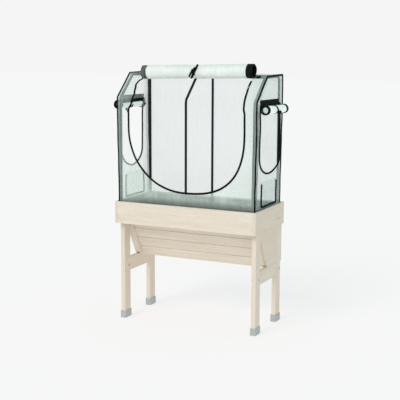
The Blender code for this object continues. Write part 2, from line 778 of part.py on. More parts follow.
def cover_wrap(parent):
    """The front panel with its door opening, and the roof and back panel."""
    half = cover_x - CORNER_PIPING_RADIUS - GAP
    path = cover_section()
    split = ARC_STEPS + 2
    (y0, z0), (y1, z1) = path[split - 1], path[split]
    share = 1.0 - GAP / math.hypot(y1 - y0, z1 - z0)
    front_path = path[:split] + [(y0 + (y1 - y0) * share, z0 + (z1 - z0) * share)]
    panels = (("cover_front", front_path), ("cover_roof_back", path[split:]))
    for name, line in panels:
        panel = ribbon(name, [(-half, y, z) for y, z in line], [(half, y, z) for y, z in line],
                       COVER_SHEET)
        if name == "cover_front":
            hole = raised_ends(offset_path(door_line(), PIPING_RADIUS + GAP), PIPING_RADIUS)
            reach = crest_y - cover_front
            opening = plate("door_cutter", [hole], 2 * reach, FACING_FRONT,
                            (0.0, (cover_front + crest_y) / 2, 0.0))
            combine(panel, opening, "DIFFERENCE")
        finish(panel, name, CLEAR, parent)


def cover_sides(parent):
    """The side panels with their openings, and the piping round their edges."""
    section = cover_section()
    edge = offset_path(section, CORNER_PIPING_RADIUS + GAP)
    flap = raised_ends(offset_path(flap_line(), PIPING_RADIUS + GAP), HINGE_GAP)
    for name, side in SIDES:
        vent = raised_ends(offset_path(vent_line(side), PIPING_RADIUS + GAP), GAP)
        panel = plate(f"cover_side_{name}", [edge, vent, flap], COVER_SHEET, FACING_SIDE,
                      (side * cover_x, 0.0, 0.0))
        finish(panel, panel.name, CLEAR, parent)
        piping = rod(f"side_piping_{name}", [(side * cover_x, y, z) for y, z in section],
                     CORNER_PIPING_RADIUS, 2)
        finish(piping, piping.name, BINDING, parent)


def door_piping(parent):
    """The zip tape round the door opening."""
    path = [(x, front_y(z), z) for x, z in door_line()]
    piping = rod("door_piping", path, PIPING_RADIUS, 2)
    finish(piping, "door_piping", BINDING, parent)


def vent_surrounds(parent):
    """A header band across each vent, in one piece with the piping below it."""
    low_y, head = vent_line(1)[0]
    high_y = vent_line(1)[-1][0]
    inner = cover_x + COVER_SHEET / 2 + GAP
    foot = head - VENT_BAND_LAP
    for name, side in SIDES:
        piping = rod(f"vent_surround_{name}", [(side * cover_x, y, z) for y, z in vent_line(side)],
                     PIPING_RADIUS, 2)
        low_x, high_x = side_span(side, inner, inner + VENT_BAND_CLOTH)
        band = solid_box((low_x, low_y - PIPING_RADIUS, foot),
                         (high_x, high_y + PIPING_RADIUS, foot + VENT_BAND_HEIGHT))
        combine(piping, band, "UNION")
        finish(piping, piping.name, BINDING, parent)


def access_flaps(parent):
    """A zipped flap low in each side, hinged along its top."""
    line = flap_line()
    top = line[0][1]
    drop = PIPING_RADIUS + HINGE_GAP
    piped = [(line[0][0], top - drop)] + line[1:-1] + [(line[-1][0], top - drop)]
    for name, side in SIDES:
        hinge = pivot(f"access_flap_{name}_hinge", (side * cover_x, FLAP_CENTRE_Y, top), parent)
        flap = plate(f"access_flap_{name}", [line], COVER_SHEET, FACING_SIDE,
                     (side * cover_x, 0.0, 0.0))
        tape = rod("flap_tape", [(side * cover_x, y, z) for y, z in piped], PIPING_RADIUS, 2)
        combine(flap, tape, "UNION")
        finish(flap, flap.name, CLEAR, hinge)


def wound(start, along, away, tail, radius, pitch, length):
    """Where a flap runs straight, then winds inwards: its points, their run and the centre."""
    contact = (start[0] + along[0] * tail, start[1] + along[1] * tail)
    centre = (contact[0] + away[0] * radius, contact[1] + away[1] * radius)
    turns = (radius - math.sqrt(radius ** 2 - pitch * (length - tail) / math.pi)) / pitch
    points = [start, contact]
    runs = [0.0, tail]
    for step in range(1, round(turns * SPIRAL_STEPS) + 1):
        angle = 2 * math.pi * step / SPIRAL_STEPS
        reach = radius - pitch * step / SPIRAL_STEPS
        point = tuple(c + reach * (a * math.sin(angle) - o * math.cos(angle))
                      for c, a, o in zip(centre, along, away))
        runs.append(runs[-1] + math.dist(points[-1], point))
        points.append(point)
    return points, runs, centre


def flap_reach(run, full, length, round_height, power):
    """How far a flap with a rounded foot reaches to one side at a distance from its top."""
    share = max(0.0, (run - length + round_height) / round_height)
    return full * (1.0 - min(share, FLAP_END_SHARE) ** power) ** (1.0 / power)


def tie(name, points, centre, thickness, middles, half_width, knot, place, parent, turn_steps):
    """A tie round a roll: a band laid outside its outer turn, with a knot on it."""
    first, last = turn_steps
    lift = thickness / 2 + GAP + STRAP_CLOTH / 2
    band = []
    for a, b in points[first:last + 1]:
        reach = math.dist((a, b), centre)
        share = (reach + lift) / reach
        band.append((centre[0] + (a - centre[0]) * share, centre[1] + (b - centre[1]) * share))
    spots = [middles[0] + (middles[1] - middles[0]) * index / (len(band) - 1)
             for index in range(len(band))]
    obj = ribbon(name, [place(spot - half_width, *point) for spot, point in zip(spots, band)],
                 [place(spot + half_width, *point) for spot, point in zip(spots, band)],
                 STRAP_CLOTH)
    index = len(band) // 2
    reach = math.dist(band[index], centre)
    share = (reach + knot - STRAP_CLOTH / 4) / reach
    bpy.ops.mesh.primitive_uv_sphere_add(
        segments=12, ring_count=8, radius=knot,
        location=place(spots[index], centre[0] + (band[index][0] - centre[0]) * share,
                       centre[1] + (band[index][1] - centre[1]) * share))
    combine(obj, bpy.context.object, "UNION")
    finish(obj, name, BINDING, parent)


def slid(point, along, slip):
    """A point moved down the slope by a slip."""
    return (point[0] + along[0] * slip, point[1] + along[1] * slip)


def door_roll(parent):
    """The door rolled up above its opening, with its strap, on a hinge at the crest seam."""
    run = math.dist((cover_front, knee_z), (crest_y, cover_top))
    along = ((cover_front - crest_y) / run, (knee_z - cover_top) / run)
    away = (along[1], -along[0])
    lift = COVER_SHEET + GAP
    start = (crest_y + along[0] * DOOR_TAIL_SET_BACK + away[0] * lift,
             cover_top + along[1] * DOOR_TAIL_SET_BACK + away[1] * lift)
    sill = PLANTER_HEIGHT + DOOR_SILL_RISE
    length = run - DOOR_TAIL_SET_BACK + knee_z - sill
    radius = DOOR_ROLL_RADIUS - COVER_SHEET / 2
    points, runs, centre = wound(start, along, away, DOOR_TAIL, radius, DOOR_ROLL_PITCH, length)
    print("door roll: gap between its turns", round(DOOR_ROLL_PITCH - COVER_SHEET, 4),
          "hinge", [round(value, 5) for value in start])
    rims = []
    full = door_half - DOOR_FLAP_INSET
    for side, power in ((-1, DOOR_ROUND_LEFT), (1, DOOR_ROUND_RIGHT)):
        slip = -side * DOOR_TAIL_SKEW
        reach = [flap_reach(run, full, length, DOOR_ROUND_HEIGHT, power) for run in runs]
        rims.append([(side * x + DOOR_ROLL_SHIFT, *slid(point, along, slip * x / full * (run > 0)))
                     for x, point, run in zip(reach, points, runs)])
    hinge = pivot("door_roll_hinge", (0.0, *start), parent)
    finish(ribbon("door_roll", rims[0], rims[1], COVER_SHEET), "door_roll", CLEAR, hinge)
    tie("door_strap", points, centre, COVER_SHEET, (0.0, 2 * DOOR_STRAP_LEAN),
        DOOR_STRAP_HALF_WIDTH, DOOR_KNOT_RADIUS,
        lambda x, y, z: (x, *slid((y, z), along, DOOR_TAIL_SKEW * (DOOR_ROLL_SHIFT - x) / full)),
        hinge, STRAP_TURN_STEPS)


def vent_rolls(parent):
    """The vent flaps rolled up under their header bands, each with its tie."""
    low_y, _ = vent_line(1)[0]
    high_y, head = vent_line(1)[-1]
    low, high = low_y + VENT_FLAP_INSET, high_y + VENT_FLAP_BACK_LAP
    radius = VENT_ROLL_RADIUS - VENT_SHEET / 2
    length = VENT_HEIGHT + VENT_FLAP_FOOT_LAP
    rest_x = cover_x + PIPING_RADIUS + GAP + VENT_SHEET / 2
    tie_y = high_y - VENT_TIE_FROM_BACK
    print("vent roll: gap between its turns", round(VENT_ROLL_PITCH - VENT_SHEET, 4),
          "hinge", round(rest_x, 5), round(head, 5))
    for name, side in SIDES:
        points, runs, centre = wound((side * rest_x, head), (0.0, -1.0), (side, 0.0), VENT_TAIL,
                                     radius, VENT_ROLL_PITCH, length)
        middle = (high + low) / 2
        reach = [flap_reach(run, (high - low) / 2, length, VENT_ROUND_HEIGHT, 2.0) for run in runs]
        hinge = pivot(f"vent_roll_{name}_hinge", (side * rest_x, middle, head), parent)
        rim = [(x, middle - width, z) for width, (x, z) in zip(reach, points)]
        far = [(x, middle + width, z) for width, (x, z) in zip(reach, points)]
        finish(ribbon(f"vent_roll_{name}", rim, far, VENT_SHEET), f"vent_roll_{name}", CLEAR, hinge)
        tie(f"vent_tie_{name}", points, centre, VENT_SHEET, (tie_y, tie_y), VENT_TIE_HALF_WIDTH,
            VENT_KNOT_RADIUS, lambda y, x, z: (x, y, z), hinge, STRAP_TURN_STEPS)


frame_slide = pivot("frame_slide", (0.0, 0.0, leg_top))
cover_slide = pivot("cover_slide", (0.0, 0.0, cover_top), frame_slide)
frame(frame_slide)
cover_wrap(cover_slide)
cover_sides(cover_slide)
door_piping(cover_slide)
vent_surrounds(cover_slide)
access_flaps(cover_slide)
door_roll(cover_slide)
vent_rolls(cover_slide)
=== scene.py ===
# %% [markdown]
# # A raised planter with a greenhouse cover
#
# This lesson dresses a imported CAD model. The planter stands on four legs and is
# made of whitewashed pine. A frame of black tubes stands inside its top ring, and a
# clear film cover hangs over the frame, bound with black tape.
# The CAD model keeps its place and its size, and the script gives every surface its
# finish and makes each soft piece anew: film, tape, ties and the trough's liner.
# Everything is in metres, with +Z up, +X to the right and the front towards -Y.

# %% The frame and its sizes
import bisect
import math

import bmesh
import bpy
import numpy as np
from mathutils import Matrix, Vector, kdtree, noise
from mathutils.geometry import delaunay_2d_cdt


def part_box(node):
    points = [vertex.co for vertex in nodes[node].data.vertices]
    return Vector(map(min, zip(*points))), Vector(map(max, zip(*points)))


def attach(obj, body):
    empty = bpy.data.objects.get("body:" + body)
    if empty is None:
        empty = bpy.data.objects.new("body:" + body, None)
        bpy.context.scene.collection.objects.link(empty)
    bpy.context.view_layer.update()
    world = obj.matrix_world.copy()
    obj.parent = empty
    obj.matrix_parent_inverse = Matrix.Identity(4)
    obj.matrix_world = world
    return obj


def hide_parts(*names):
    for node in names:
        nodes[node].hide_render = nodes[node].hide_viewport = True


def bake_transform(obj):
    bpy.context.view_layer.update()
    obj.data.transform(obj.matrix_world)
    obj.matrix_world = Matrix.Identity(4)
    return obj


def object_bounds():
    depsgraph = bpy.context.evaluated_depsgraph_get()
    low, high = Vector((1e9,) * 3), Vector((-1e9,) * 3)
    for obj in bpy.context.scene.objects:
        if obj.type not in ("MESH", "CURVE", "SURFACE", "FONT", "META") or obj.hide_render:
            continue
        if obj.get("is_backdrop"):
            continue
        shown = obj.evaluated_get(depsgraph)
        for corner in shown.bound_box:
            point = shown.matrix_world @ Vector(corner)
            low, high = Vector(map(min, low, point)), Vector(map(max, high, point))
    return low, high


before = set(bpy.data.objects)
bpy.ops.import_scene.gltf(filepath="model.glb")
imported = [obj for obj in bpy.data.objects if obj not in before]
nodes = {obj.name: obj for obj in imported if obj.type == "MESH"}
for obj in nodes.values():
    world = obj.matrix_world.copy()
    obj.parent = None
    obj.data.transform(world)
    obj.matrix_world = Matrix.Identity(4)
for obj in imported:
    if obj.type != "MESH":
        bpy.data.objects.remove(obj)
CAD_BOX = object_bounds()
print("CAD nodes:", len(nodes), "box:", [round(v, 4) for corner in CAD_BOX for v in corner])

# %% [markdown]
# ## Helpers
#
# A colour is written as it would be picked from a picture, in sRGB, and a shader
# wants it linear, so one function turns it. Another adds a shader node with its
# settings, and joins a socket where it is given one in place of a number.

# %% Colour and shader helpers


def linear(code):
    """The linear colour of an sRGB hex code."""
    parts = [int(code[i:i + 2], 16) / 255 for i in (1, 3, 5)]
    return [c / 12.92 if c <= 0.04045 else ((c + 0.055) / 1.055) ** 2.4 for c in parts] + [1.0]


def add(tree, kind, inputs=None, **settings):
    """Add a shader node, set it up, and link or fill its inputs."""
    made = tree.nodes.new(kind)
    for name, value in settings.items():
        setattr(made, name, value)
    for name, value in (inputs or {}).items():
        if isinstance(value, bpy.types.NodeSocket):
            tree.links.new(value, made.inputs[name])
        else:
            made.inputs[name].default_value = value
    return made


def new_material(name):
    """A material with a bare Principled shader, its tree and the shader."""
    material = bpy.data.materials.new(name)
    material.use_nodes = True
    tree = material.node_tree
    return material, tree, tree.nodes["Principled BSDF"]


def ramp(tree, factor, *stops):
    """A colour ramp through stops of place and hex colour."""
    made = add(tree, "ShaderNodeValToRGB", {"Fac": factor})
    ends = made.color_ramp.elements
    while len(ends) < len(stops):
        ends.new(0.5)
    for end, (place, code) in zip(ends, stops):
        end.position = place
        end.color = linear(code)
    return made.outputs["Color"]


def dress(names, material):
    """Give CAD nodes a material in place of their plain one."""
    for name in names:
        slots = nodes[name].material_slots
        for slot in slots:
            slot.link = "OBJECT"
            slot.material = material


# %% [markdown]
# ## Camera, floor and light
#
# The camera stands to the front right of the planter, a little above its top, as it
# did for the photograph. A long lens from far away keeps the lines nearly parallel.
# The floor and the sky behind it are the same pale grey. The light is plain: an even
# sky, and a broad sun from the front left, so that a face turned to the front shows
# its colour as it is written and a face turned to the right is a little darker.

# %% The camera
CAMERA_PLACE = (2.8421, -5.9692, 1.9392)
CAMERA_YAW = 0.4439
CAMERA_PITCH = 0.1694
CAMERA_ROLL = 0.004
CAMERA_LENS_MM = 91.77
CAMERA_SENSOR_MM = 36.0

camera = bpy.data.objects.new("camera", bpy.data.cameras.new("camera"))
bpy.context.scene.collection.objects.link(camera)
turned = (Matrix.Rotation(CAMERA_YAW, 4, "Z")
          @ Matrix.Rotation(math.pi / 2 - CAMERA_PITCH, 4, "X")
          @ Matrix.Rotation(CAMERA_ROLL, 4, "Z"))
camera.matrix_world = Matrix.Translation(CAMERA_PLACE) @ turned
camera.data.lens = CAMERA_LENS_MM
camera.data.sensor_width = CAMERA_SENSOR_MM
bpy.context.scene.camera = camera
print("camera looks down by", round(math.degrees(CAMERA_PITCH), 1), "degrees")

# %% The sky, the sun and the floor
BACKDROP = "#f5f5f5"
SKY = "#e2f2f3"
SKY_LIGHT = 0.79
SUN_LIGHT = 0.99
SUN_COLOUR = (1.0, 0.925, 0.865)
SUN_SPREAD = math.radians(30)
SUN_TURN = (math.radians(52), 0.0, math.radians(-14))
FLOOR_SIZE = 60.0
FLOOR_GREY = (0.395, 0.372, 0.368, 1.0)
FLOOR_GLOW = 0.667
FILM_LAYERS_SEEN = 24

world = bpy.data.worlds.new("studio")
bpy.context.scene.world = world
world.use_nodes = True
tree = world.node_tree
tree.nodes.clear()
rays = add(tree, "ShaderNodeLightPath")
seen = add(tree, "ShaderNodeMath", {0: rays.outputs["Is Camera Ray"],
                                    1: rays.outputs["Is Transmission Ray"]},
           operation="MAXIMUM")
light = add(tree, "ShaderNodeBackground", {"Color": linear(SKY), "Strength": SKY_LIGHT})
pale = add(tree, "ShaderNodeBackground", {"Color": linear(BACKDROP), "Strength": 1.0})
both = add(tree, "ShaderNodeMixShader", {"Fac": seen.outputs[0], 1: light.outputs[0],
                                         2: pale.outputs[0]})
add(tree, "ShaderNodeOutputWorld", {"Surface": both.outputs[0]})

sun = bpy.data.objects.new("sun", bpy.data.lights.new("sun", "SUN"))
sun.data.energy = SUN_LIGHT
sun.data.angle = SUN_SPREAD
sun.data.color = SUN_COLOUR
sun.rotation_euler = SUN_TURN
bpy.context.scene.collection.objects.link(sun)

bpy.ops.object.select_all(action="DESELECT")
bpy.ops.mesh.primitive_plane_add(size=FLOOR_SIZE)
floor = bpy.context.object
floor.name = "studio_floor"
material, tree, shader = new_material("matt pale studio floor")
tree.nodes.remove(shader)
lit = add(tree, "ShaderNodeBsdfDiffuse", {"Color": FLOOR_GREY})
own = add(tree, "ShaderNodeEmission", {"Color": linear(BACKDROP), "Strength": FLOOR_GLOW})
whole = add(tree, "ShaderNodeAddShader", {0: lit.outputs[0], 1: own.outputs[0]})
out = tree.nodes["Material Output"]
tree.links.new(whole.outputs[0], out.inputs["Surface"])
floor.data.materials.append(material)
floor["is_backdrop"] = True
bpy.context.scene.view_settings.view_transform = "Standard"
bpy.context.scene.cycles.transparent_max_bounces = FILM_LAYERS_SEEN

# %% [markdown]
# ## Whitewashed pine
#
# The boards are planed pine under a thin white wash, so the wood is pale beige and
# its grain shows only as soft, slightly darker lines. The grain runs along a board,
# so the pattern is stretched along that axis. Each board gets its own material, moved
# to another part of the same endless pattern, because boards sawn from different
# trees don't continue each other's lines.

# %% Pine
GRAIN_WIDTH_MM = 3.2
FIGURE_WIDTH_MM = 26.0
KNOT_SPACING_MM = 170.0
STRETCH = 14.0
PINE_PALE = "#eadfd0"
PINE_BEIGE = "#e3d4c1"
PINE_LINE = "#dccbb7"
PINE_KNOT = "#b9a285"


def pine(name, turn, shift, wash):
    """Whitewashed pine whose grain runs along the X of the turned pattern."""
    material, tree, shader = new_material("whitewashed pine " + name)
    place = add(tree, "ShaderNodeTexCoord").outputs["Object"]
    along = add(tree, "ShaderNodeMapping", {"Vector": place, "Rotation": turn,
                                            "Location": shift})
    long = add(tree, "ShaderNodeMapping", {"Vector": along.outputs[0],
                                           "Scale": (1 / STRETCH, 1.0, 1.0)})
    bend = add(tree, "ShaderNodeTexNoise", {"Vector": long.outputs[0], "Scale": 9.0,
                                            "Detail": 2.0, "Roughness": 0.5})
    swerve = add(tree, "ShaderNodeVectorMath", {0: bend.outputs["Color"],
                                                1: (0.0, 0.020, 0.020)},
                 operation="MULTIPLY")
    curved = add(tree, "ShaderNodeVectorMath", {0: long.outputs[0], 1: swerve.outputs[0]},
                 operation="ADD")
    figure = add(tree, "ShaderNodeTexNoise", {"Vector": curved.outputs[0],
                                              "Scale": 1000 / FIGURE_WIDTH_MM,
                                              "Detail": 3.0, "Roughness": 0.55})
    grain = add(tree, "ShaderNodeTexNoise", {"Vector": curved.outputs[0],
                                             "Scale": 1000 / GRAIN_WIDTH_MM,
                                             "Detail": 3.0, "Roughness": 0.65})
    lines = add(tree, "ShaderNodeMath", {0: figure.outputs["Fac"], 1: grain.outputs["Fac"]},
                operation="MULTIPLY")
    body = ramp(tree, lines.outputs[0], (0.08, PINE_LINE), (0.17, PINE_BEIGE),
                (0.34, wash))
    oval = add(tree, "ShaderNodeMapping", {"Vector": along.outputs[0],
                                           "Scale": (0.45, 1.0, 1.0)})
    knots = add(tree, "ShaderNodeTexVoronoi", {"Vector": oval.outputs[0],
                                               "Scale": 1000 / KNOT_SPACING_MM,
                                               "Randomness": 1.0})
    spot = add(tree, "ShaderNodeMapRange", {"Value": knots.outputs["Distance"],
                                            "From Min": 0.020, "From Max": 0.085,
                                            "To Min": 0.55, "To Max": 0.0})
    whole = add(tree, "ShaderNodeMix", {"Factor": spot.outputs[0], 6: body,
                                        7: linear(PINE_KNOT)}, data_type="RGBA")
    tree.links.new(whole.outputs[2], shader.inputs["Base Color"])
    shader.inputs["Roughness"].default_value = 0.72
    shader.inputs["Specular IOR Level"].default_value = 0.35
    raised = add(tree, "ShaderNodeBump", {"Height": grain.outputs["Fac"], "Strength": 0.25,
                                          "Distance": 0.0006})
    tree.links.new(raised.outputs[0], shader.inputs["Normal"])
    return material


ALONG_X = (0.0, 0.0, 0.0)
ALONG_Y = (0.0, 0.0, math.pi / 2)
ALONG_Z = (0.0, math.pi / 2, 0.0)
SIDE_NAMES = ("left", "right")
END_NAMES = ("front", "rear")


def at_corners(what):
    """The CAD names of a part that is at all four corners."""
    return [f"{what}_{end}_{side}" for end in END_NAMES for side in SIDE_NAMES]


boards = {name: ALONG_Z for name in at_corners("leg")}
for side in SIDE_NAMES:
    boards[f"slope_batten_{side}"] = ALONG_Z
    for what in ("fascia", "stretcher", "end_panel"):
        boards[f"{what}_{side}"] = ALONG_Y
for name in ("fascia_front", "fascia_rear", "bottom_board_front", "bottom_board_rear",
             "back_board_1", "back_board_2", *[f"front_slat_{i}" for i in range(1, 6)]):
    boards[name] = ALONG_X
WASHES = (PINE_PALE, "#e8dccd", "#ebe1d3", "#e6d9c9")
for index, (name, turn) in enumerate(sorted(boards.items())):
    shift = (0.37 * index, 0.53 * index, 0.71 * index)
    dress([name], pine(name.replace("_", " "), turn, shift, WASHES[index % len(WASHES)]))
print("pine boards:", len(boards))

# %% [markdown]
# ## Foot caps and bolts
#
# The legs stand in caps of light grey polypropylene. The moulded skin is fine and
# satin, with a faint grain. The bolts are zinc-plated steel, bright but not mirror
# smooth.

# %% Polypropylene and zinc-plated steel
CAP_GREY = "#b9bbbb"
CAP_SHADE = "#b1b4b4"
CAP_GRAIN_MM = 1.4
ZINC = "#c9cac8"
ZINC_SHADE = "#b4b6b5"
ZINC_MARK_MM = 4.0

material, tree, shader = new_material("moulded grey polypropylene")
place = add(tree, "ShaderNodeTexCoord").outputs["Object"]
skin = add(tree, "ShaderNodeTexNoise", {"Vector": place, "Scale": 1000 / CAP_GRAIN_MM,
                                        "Detail": 2.0})
tone = add(tree, "ShaderNodeTexNoise", {"Vector": place, "Scale": 28.0, "Detail": 3.0})
tree.links.new(ramp(tree, tone.outputs["Fac"], (0.35, CAP_SHADE), (0.65, CAP_GREY)),
               shader.inputs["Base Color"])
shader.inputs["Roughness"].default_value = 0.48
raised = add(tree, "ShaderNodeBump", {"Height": skin.outputs["Fac"], "Strength": 0.3,
                                      "Distance": 0.0002})
tree.links.new(raised.outputs[0], shader.inputs["Normal"])
dress(at_corners("foot_cap"), material)

material, tree, shader = new_material("zinc-plated steel")
place = add(tree, "ShaderNodeTexCoord").outputs["Object"]
dull = add(tree, "ShaderNodeTexNoise", {"Vector": place, "Scale": 1000 / ZINC_MARK_MM,
                                        "Detail": 3.0})
tree.links.new(ramp(tree, dull.outputs["Fac"], (0.3, ZINC_SHADE), (0.7, ZINC)),
               shader.inputs["Base Color"])
shader.inputs["Metallic"].default_value = 1.0
rough = add(tree, "ShaderNodeMapRange", {"Value": dull.outputs["Fac"], "To Min": 0.26,
                                         "To Max": 0.42})
tree.links.new(rough.outputs[0], shader.inputs["Roughness"])
ZINC_STEEL = material
dress(at_corners("stretcher_bolt"), material)

# %% [markdown]
# ## The tube frame
#
# The tubes are thin steel under a black polymer coat. The coat is smooth and has a
# soft shine, with a faint unevenness from the coating bath that breaks up its
# highlights.

# %% Black coated tube
TUBE_BLACK = "#0a0f0f"
TUBE_SHADE = "#050808"
COAT_WAVE_MM = 9.0

material, tree, shader = new_material("black polymer-coated steel tube")
place = add(tree, "ShaderNodeTexCoord").outputs["Object"]
wave = add(tree, "ShaderNodeTexNoise", {"Vector": place, "Scale": 1000 / COAT_WAVE_MM,
                                        "Detail": 2.0})
tree.links.new(ramp(tree, wave.outputs["Fac"], (0.35, TUBE_SHADE), (0.65, TUBE_BLACK)),
               shader.inputs["Base Color"])
rough = add(tree, "ShaderNodeMapRange", {"Value": wave.outputs["Fac"], "To Min": 0.34,
                                         "To Max": 0.46})
tree.links.new(rough.outputs[0], shader.inputs["Roughness"])
shader.inputs["Specular IOR Level"].default_value = 0.3
raised = add(tree, "ShaderNodeBump", {"Height": wave.outputs["Fac"], "Strength": 0.15,
                                      "Distance": 0.0004})
tree.links.new(raised.outputs[0], shader.inputs["Normal"])
tubes = [f"hoop_{name}" for name in ("left", "centre", "right")]
tubes += [f"base_rail_{name}" for name in (*END_NAMES, *SIDE_NAMES)] + at_corners("top_rail")
dress(tubes, material)
print("tubes:", len(tubes))

# %% [markdown]
# ## The shape of the cover
#
# The cover is a tall box of film whose front folds back over a knee, up a slope and
# over a crest. From the side it is one line, so a place on the front, the roof or the
# back is told by two numbers: how far it is from the middle, and how far it has run
# up that line from the skirt. Every sheet, tape and zip below is laid out flat in those
# two numbers and is then placed by the same functions, so they stay together. Film
# never hangs quite flat, so the functions also give it a few millimetres of slack, and
# let the cover stand a little wider at its top than at its foot.

# %% The cover's section
COVER_X = 0.4815
COVER_FRONT = -0.2165
COVER_BACK = 0.2085
SKIRT_Z = 0.757
KNEE_Z = 1.4805
CREST_Y = -0.05
ROOF_Z = 1.6325
FOLD_RADIUS = 0.012
FOLD_STEPS = 6


def rounded(points, radius, steps):
    """A line of points whose corners are turned into small arcs."""
    made = [points[0]]
    for before, corner, after in zip(points, points[1:], points[2:]):
        come, go = (corner - before).normalized(), (after - corner).normalized()
        turn = come.angle(go)
        reach = radius * math.tan(turn / 2)
        start, end = corner - come * reach, corner + go * reach
        for step in range(steps + 1):
            share = step / steps
            made.append(start.lerp(corner, share).lerp(corner.lerp(end, share), share))
    return made + [points[-1]]


SECTION = rounded([Vector(spot) for spot in (
    (COVER_FRONT, SKIRT_Z), (COVER_FRONT, KNEE_Z), (CREST_Y, ROOF_Z), (COVER_BACK, ROOF_Z),
    (COVER_BACK, SKIRT_Z))], FOLD_RADIUS, FOLD_STEPS)
RUNS = [0.0]
for before, after in zip(SECTION, SECTION[1:]):
    RUNS.append(RUNS[-1] + (after - before).length)
CREST_RUN = RUNS[1 + FOLD_STEPS + 1 + FOLD_STEPS // 2]


def on_section(run):
    """The place on the section at a run, and the way that it faces, in Y and Z."""
    index = max(0, min(bisect.bisect_right(RUNS, run) - 1, len(RUNS) - 2))
    share = (run - RUNS[index]) / (RUNS[index + 1] - RUNS[index])
    way = (SECTION[index + 1] - SECTION[index]).normalized()
    return SECTION[index].lerp(SECTION[index + 1], share), Vector((-way.y, way.x))


def run_at(height):
    """The run on the front or its slope at a height."""
    for index, spot in enumerate(SECTION[1:]):
        if spot.y >= height:
            low = SECTION[index].y
            return RUNS[index] + (RUNS[index + 1] - RUNS[index]) * (height - low) / (spot.y - low)
    return CREST_RUN


print("run to the crest", round(CREST_RUN, 4), "and to the hem of the back", round(RUNS[-1], 4))

# %% Slack in the film
SPLAY = 0.0075
SPLAY_FROM = 0.80
SPLAY_TO = 1.40
SEAM_WAVE = 0.0022
FRONT_SLACK = 0.0040
SIDE_SLACK = 0.0035
SLACK_FADE = 0.060
SLOPE_INWARD = (0.674, 0.739)


def smooth(value):
    """From 0 to 1 with soft ends."""
    value = max(0.0, min(1.0, value))
    return value * value * (3 - 2 * value)


def splayed(spot):
    """A place on the cover, moved out where the cover stands wider."""
    out = SPLAY * smooth((spot.z - SPLAY_FROM) / (SPLAY_TO - SPLAY_FROM))
    out += SEAM_WAVE * noise.noise(Vector((spot.x, spot.y * 11, spot.z * 11)))
    near = min(1.0, abs(spot.x) / COVER_X) ** 8
    return Vector((spot.x + math.copysign(out * near, spot.x), spot.y, spot.z))


def ripple(u, v, seed):
    """Soft uneven waves between about -1 and 1, longer up and down than across."""
    return (noise.noise(Vector((u * 9, v * 3.2, seed)))
            + 0.45 * noise.noise(Vector((u * 21, v * 7, seed + 5))))


def wrap(u, run):
    """A place on the front, the roof or the back of the cover, and the way it faces."""
    spot, way = on_section(run)
    fade = smooth((COVER_X - abs(u)) / SLACK_FADE)
    out = FRONT_SLACK * fade * ripple(u, run, 3.0)
    place = splayed(Vector((u, spot.x + way.x * out, spot.y + way.y * out)))
    return place, Vector((0.0, way.x, way.y))


def flank(side, y, z, lift=0.0):
    """A place on one side of the cover, and the way it faces."""
    edge = min(y - COVER_FRONT, COVER_BACK - y, ROOF_Z - z,
               (y - COVER_FRONT) * SLOPE_INWARD[0] + (KNEE_Z - z) * SLOPE_INWARD[1])
    out = lift + SIDE_SLACK * smooth(edge / SLACK_FADE) * ripple(y, z, 11.0 * side)
    return splayed(Vector((side * (COVER_X + out), y, z))), Vector((side, 0.0, 0.0))


# %% [markdown]
# ## Cutting film
#
# A sheet is drawn flat, as its maker cuts it: an outline and the openings in it. Those
# edges and a grid of points between them are joined into triangles, the ones inside an
# opening are dropped, and each point goes to its place on the cover. A Solidify
# modifier gives the sheet its thickness. Each point also keeps its distance from an
# edge, so that the finish can draw the hem and its fold along the seams.

# %% A sheet cutter
FILM = 0.0008
EDGE_STEP = 0.006


def fine(line, step):
    """A line of flat points with no part longer than the step."""
    made = [line[0]]
    for before, after in zip(line, line[1:]):
        count = max(1, math.ceil((after - before).length / step))
        made += [before.lerp(after, (index + 1) / count) for index in range(count)]
    return made


def dense(loop):
    """A closed loop of flat points with no long sides."""
    return fine(loop + loop[:1], EDGE_STEP)[:-1]


def flat_area(loop):
    """The area inside a closed loop of flat points."""
    return abs(sum(a.x * b.y - b.x * a.y for a, b in zip(loop, loop[1:] + loop[:1]))) / 2


def within(spots, loop):
    """Which of some flat points lie inside a loop."""
    held = np.zeros(len(spots), dtype=bool)
    x, y = spots[:, 0], spots[:, 1]
    for here, after in zip(loop, loop[1:] + loop[:1]):
        if here.y != after.y:
            crossing = here.x + (y - here.y) * (after.x - here.x) / (after.y - here.y)
            held ^= ((here.y > y) != (after.y > y)) & (x < crossing)
    return held


def in_sheet(spots, loops):
    """Which of some flat points lie inside the first loop and outside the others."""
    held = within(spots, loops[0])
    for loop in loops[1:]:
        held &= ~within(spots, loop)
    return held


def distance_to(line):
    """A function that gives a flat point's distance to the nearest point of a line."""
    tree = kdtree.KDTree(len(line))
    for index, spot in enumerate(line):
        tree.insert((spot.x, spot.y, 0.0), index)
    tree.balance()
    return lambda spot: tree.find((spot.x, spot.y, 0.0))[2]


def facet(work, cut, corners, spots):
    """A face whose corners have their places in the flat layout."""
    for corner, spot in zip(work.faces.new(corners).loops, spots):
        corner[cut].uv = spot


def belong(made, material, body):
    """Give a piece its finish, and its body if it is given one."""
    made.data.materials.append(material)
    if body:
        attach(made, body)


def new_piece(name, work, material, body):
    """Turn a bmesh into a piece."""
    mesh = bpy.data.meshes.new(name)
    work.to_mesh(mesh)
    work.free()
    made = bpy.data.objects.new(name, mesh)
    bpy.context.scene.collection.objects.link(made)
    mesh.polygons.foreach_set("use_smooth", [True] * len(mesh.polygons))
    belong(made, material, body)
    return made


def apply(made, kind, **settings):
    """Add a modifier to a piece and apply it."""
    bpy.ops.object.select_all(action="DESELECT")
    bpy.context.view_layer.objects.active = made
    made.select_set(True)
    added = made.modifiers.new("step", kind)
    for name, value in settings.items():
        setattr(added, name, value)
    bpy.ops.object.modifier_apply(modifier=added.name)


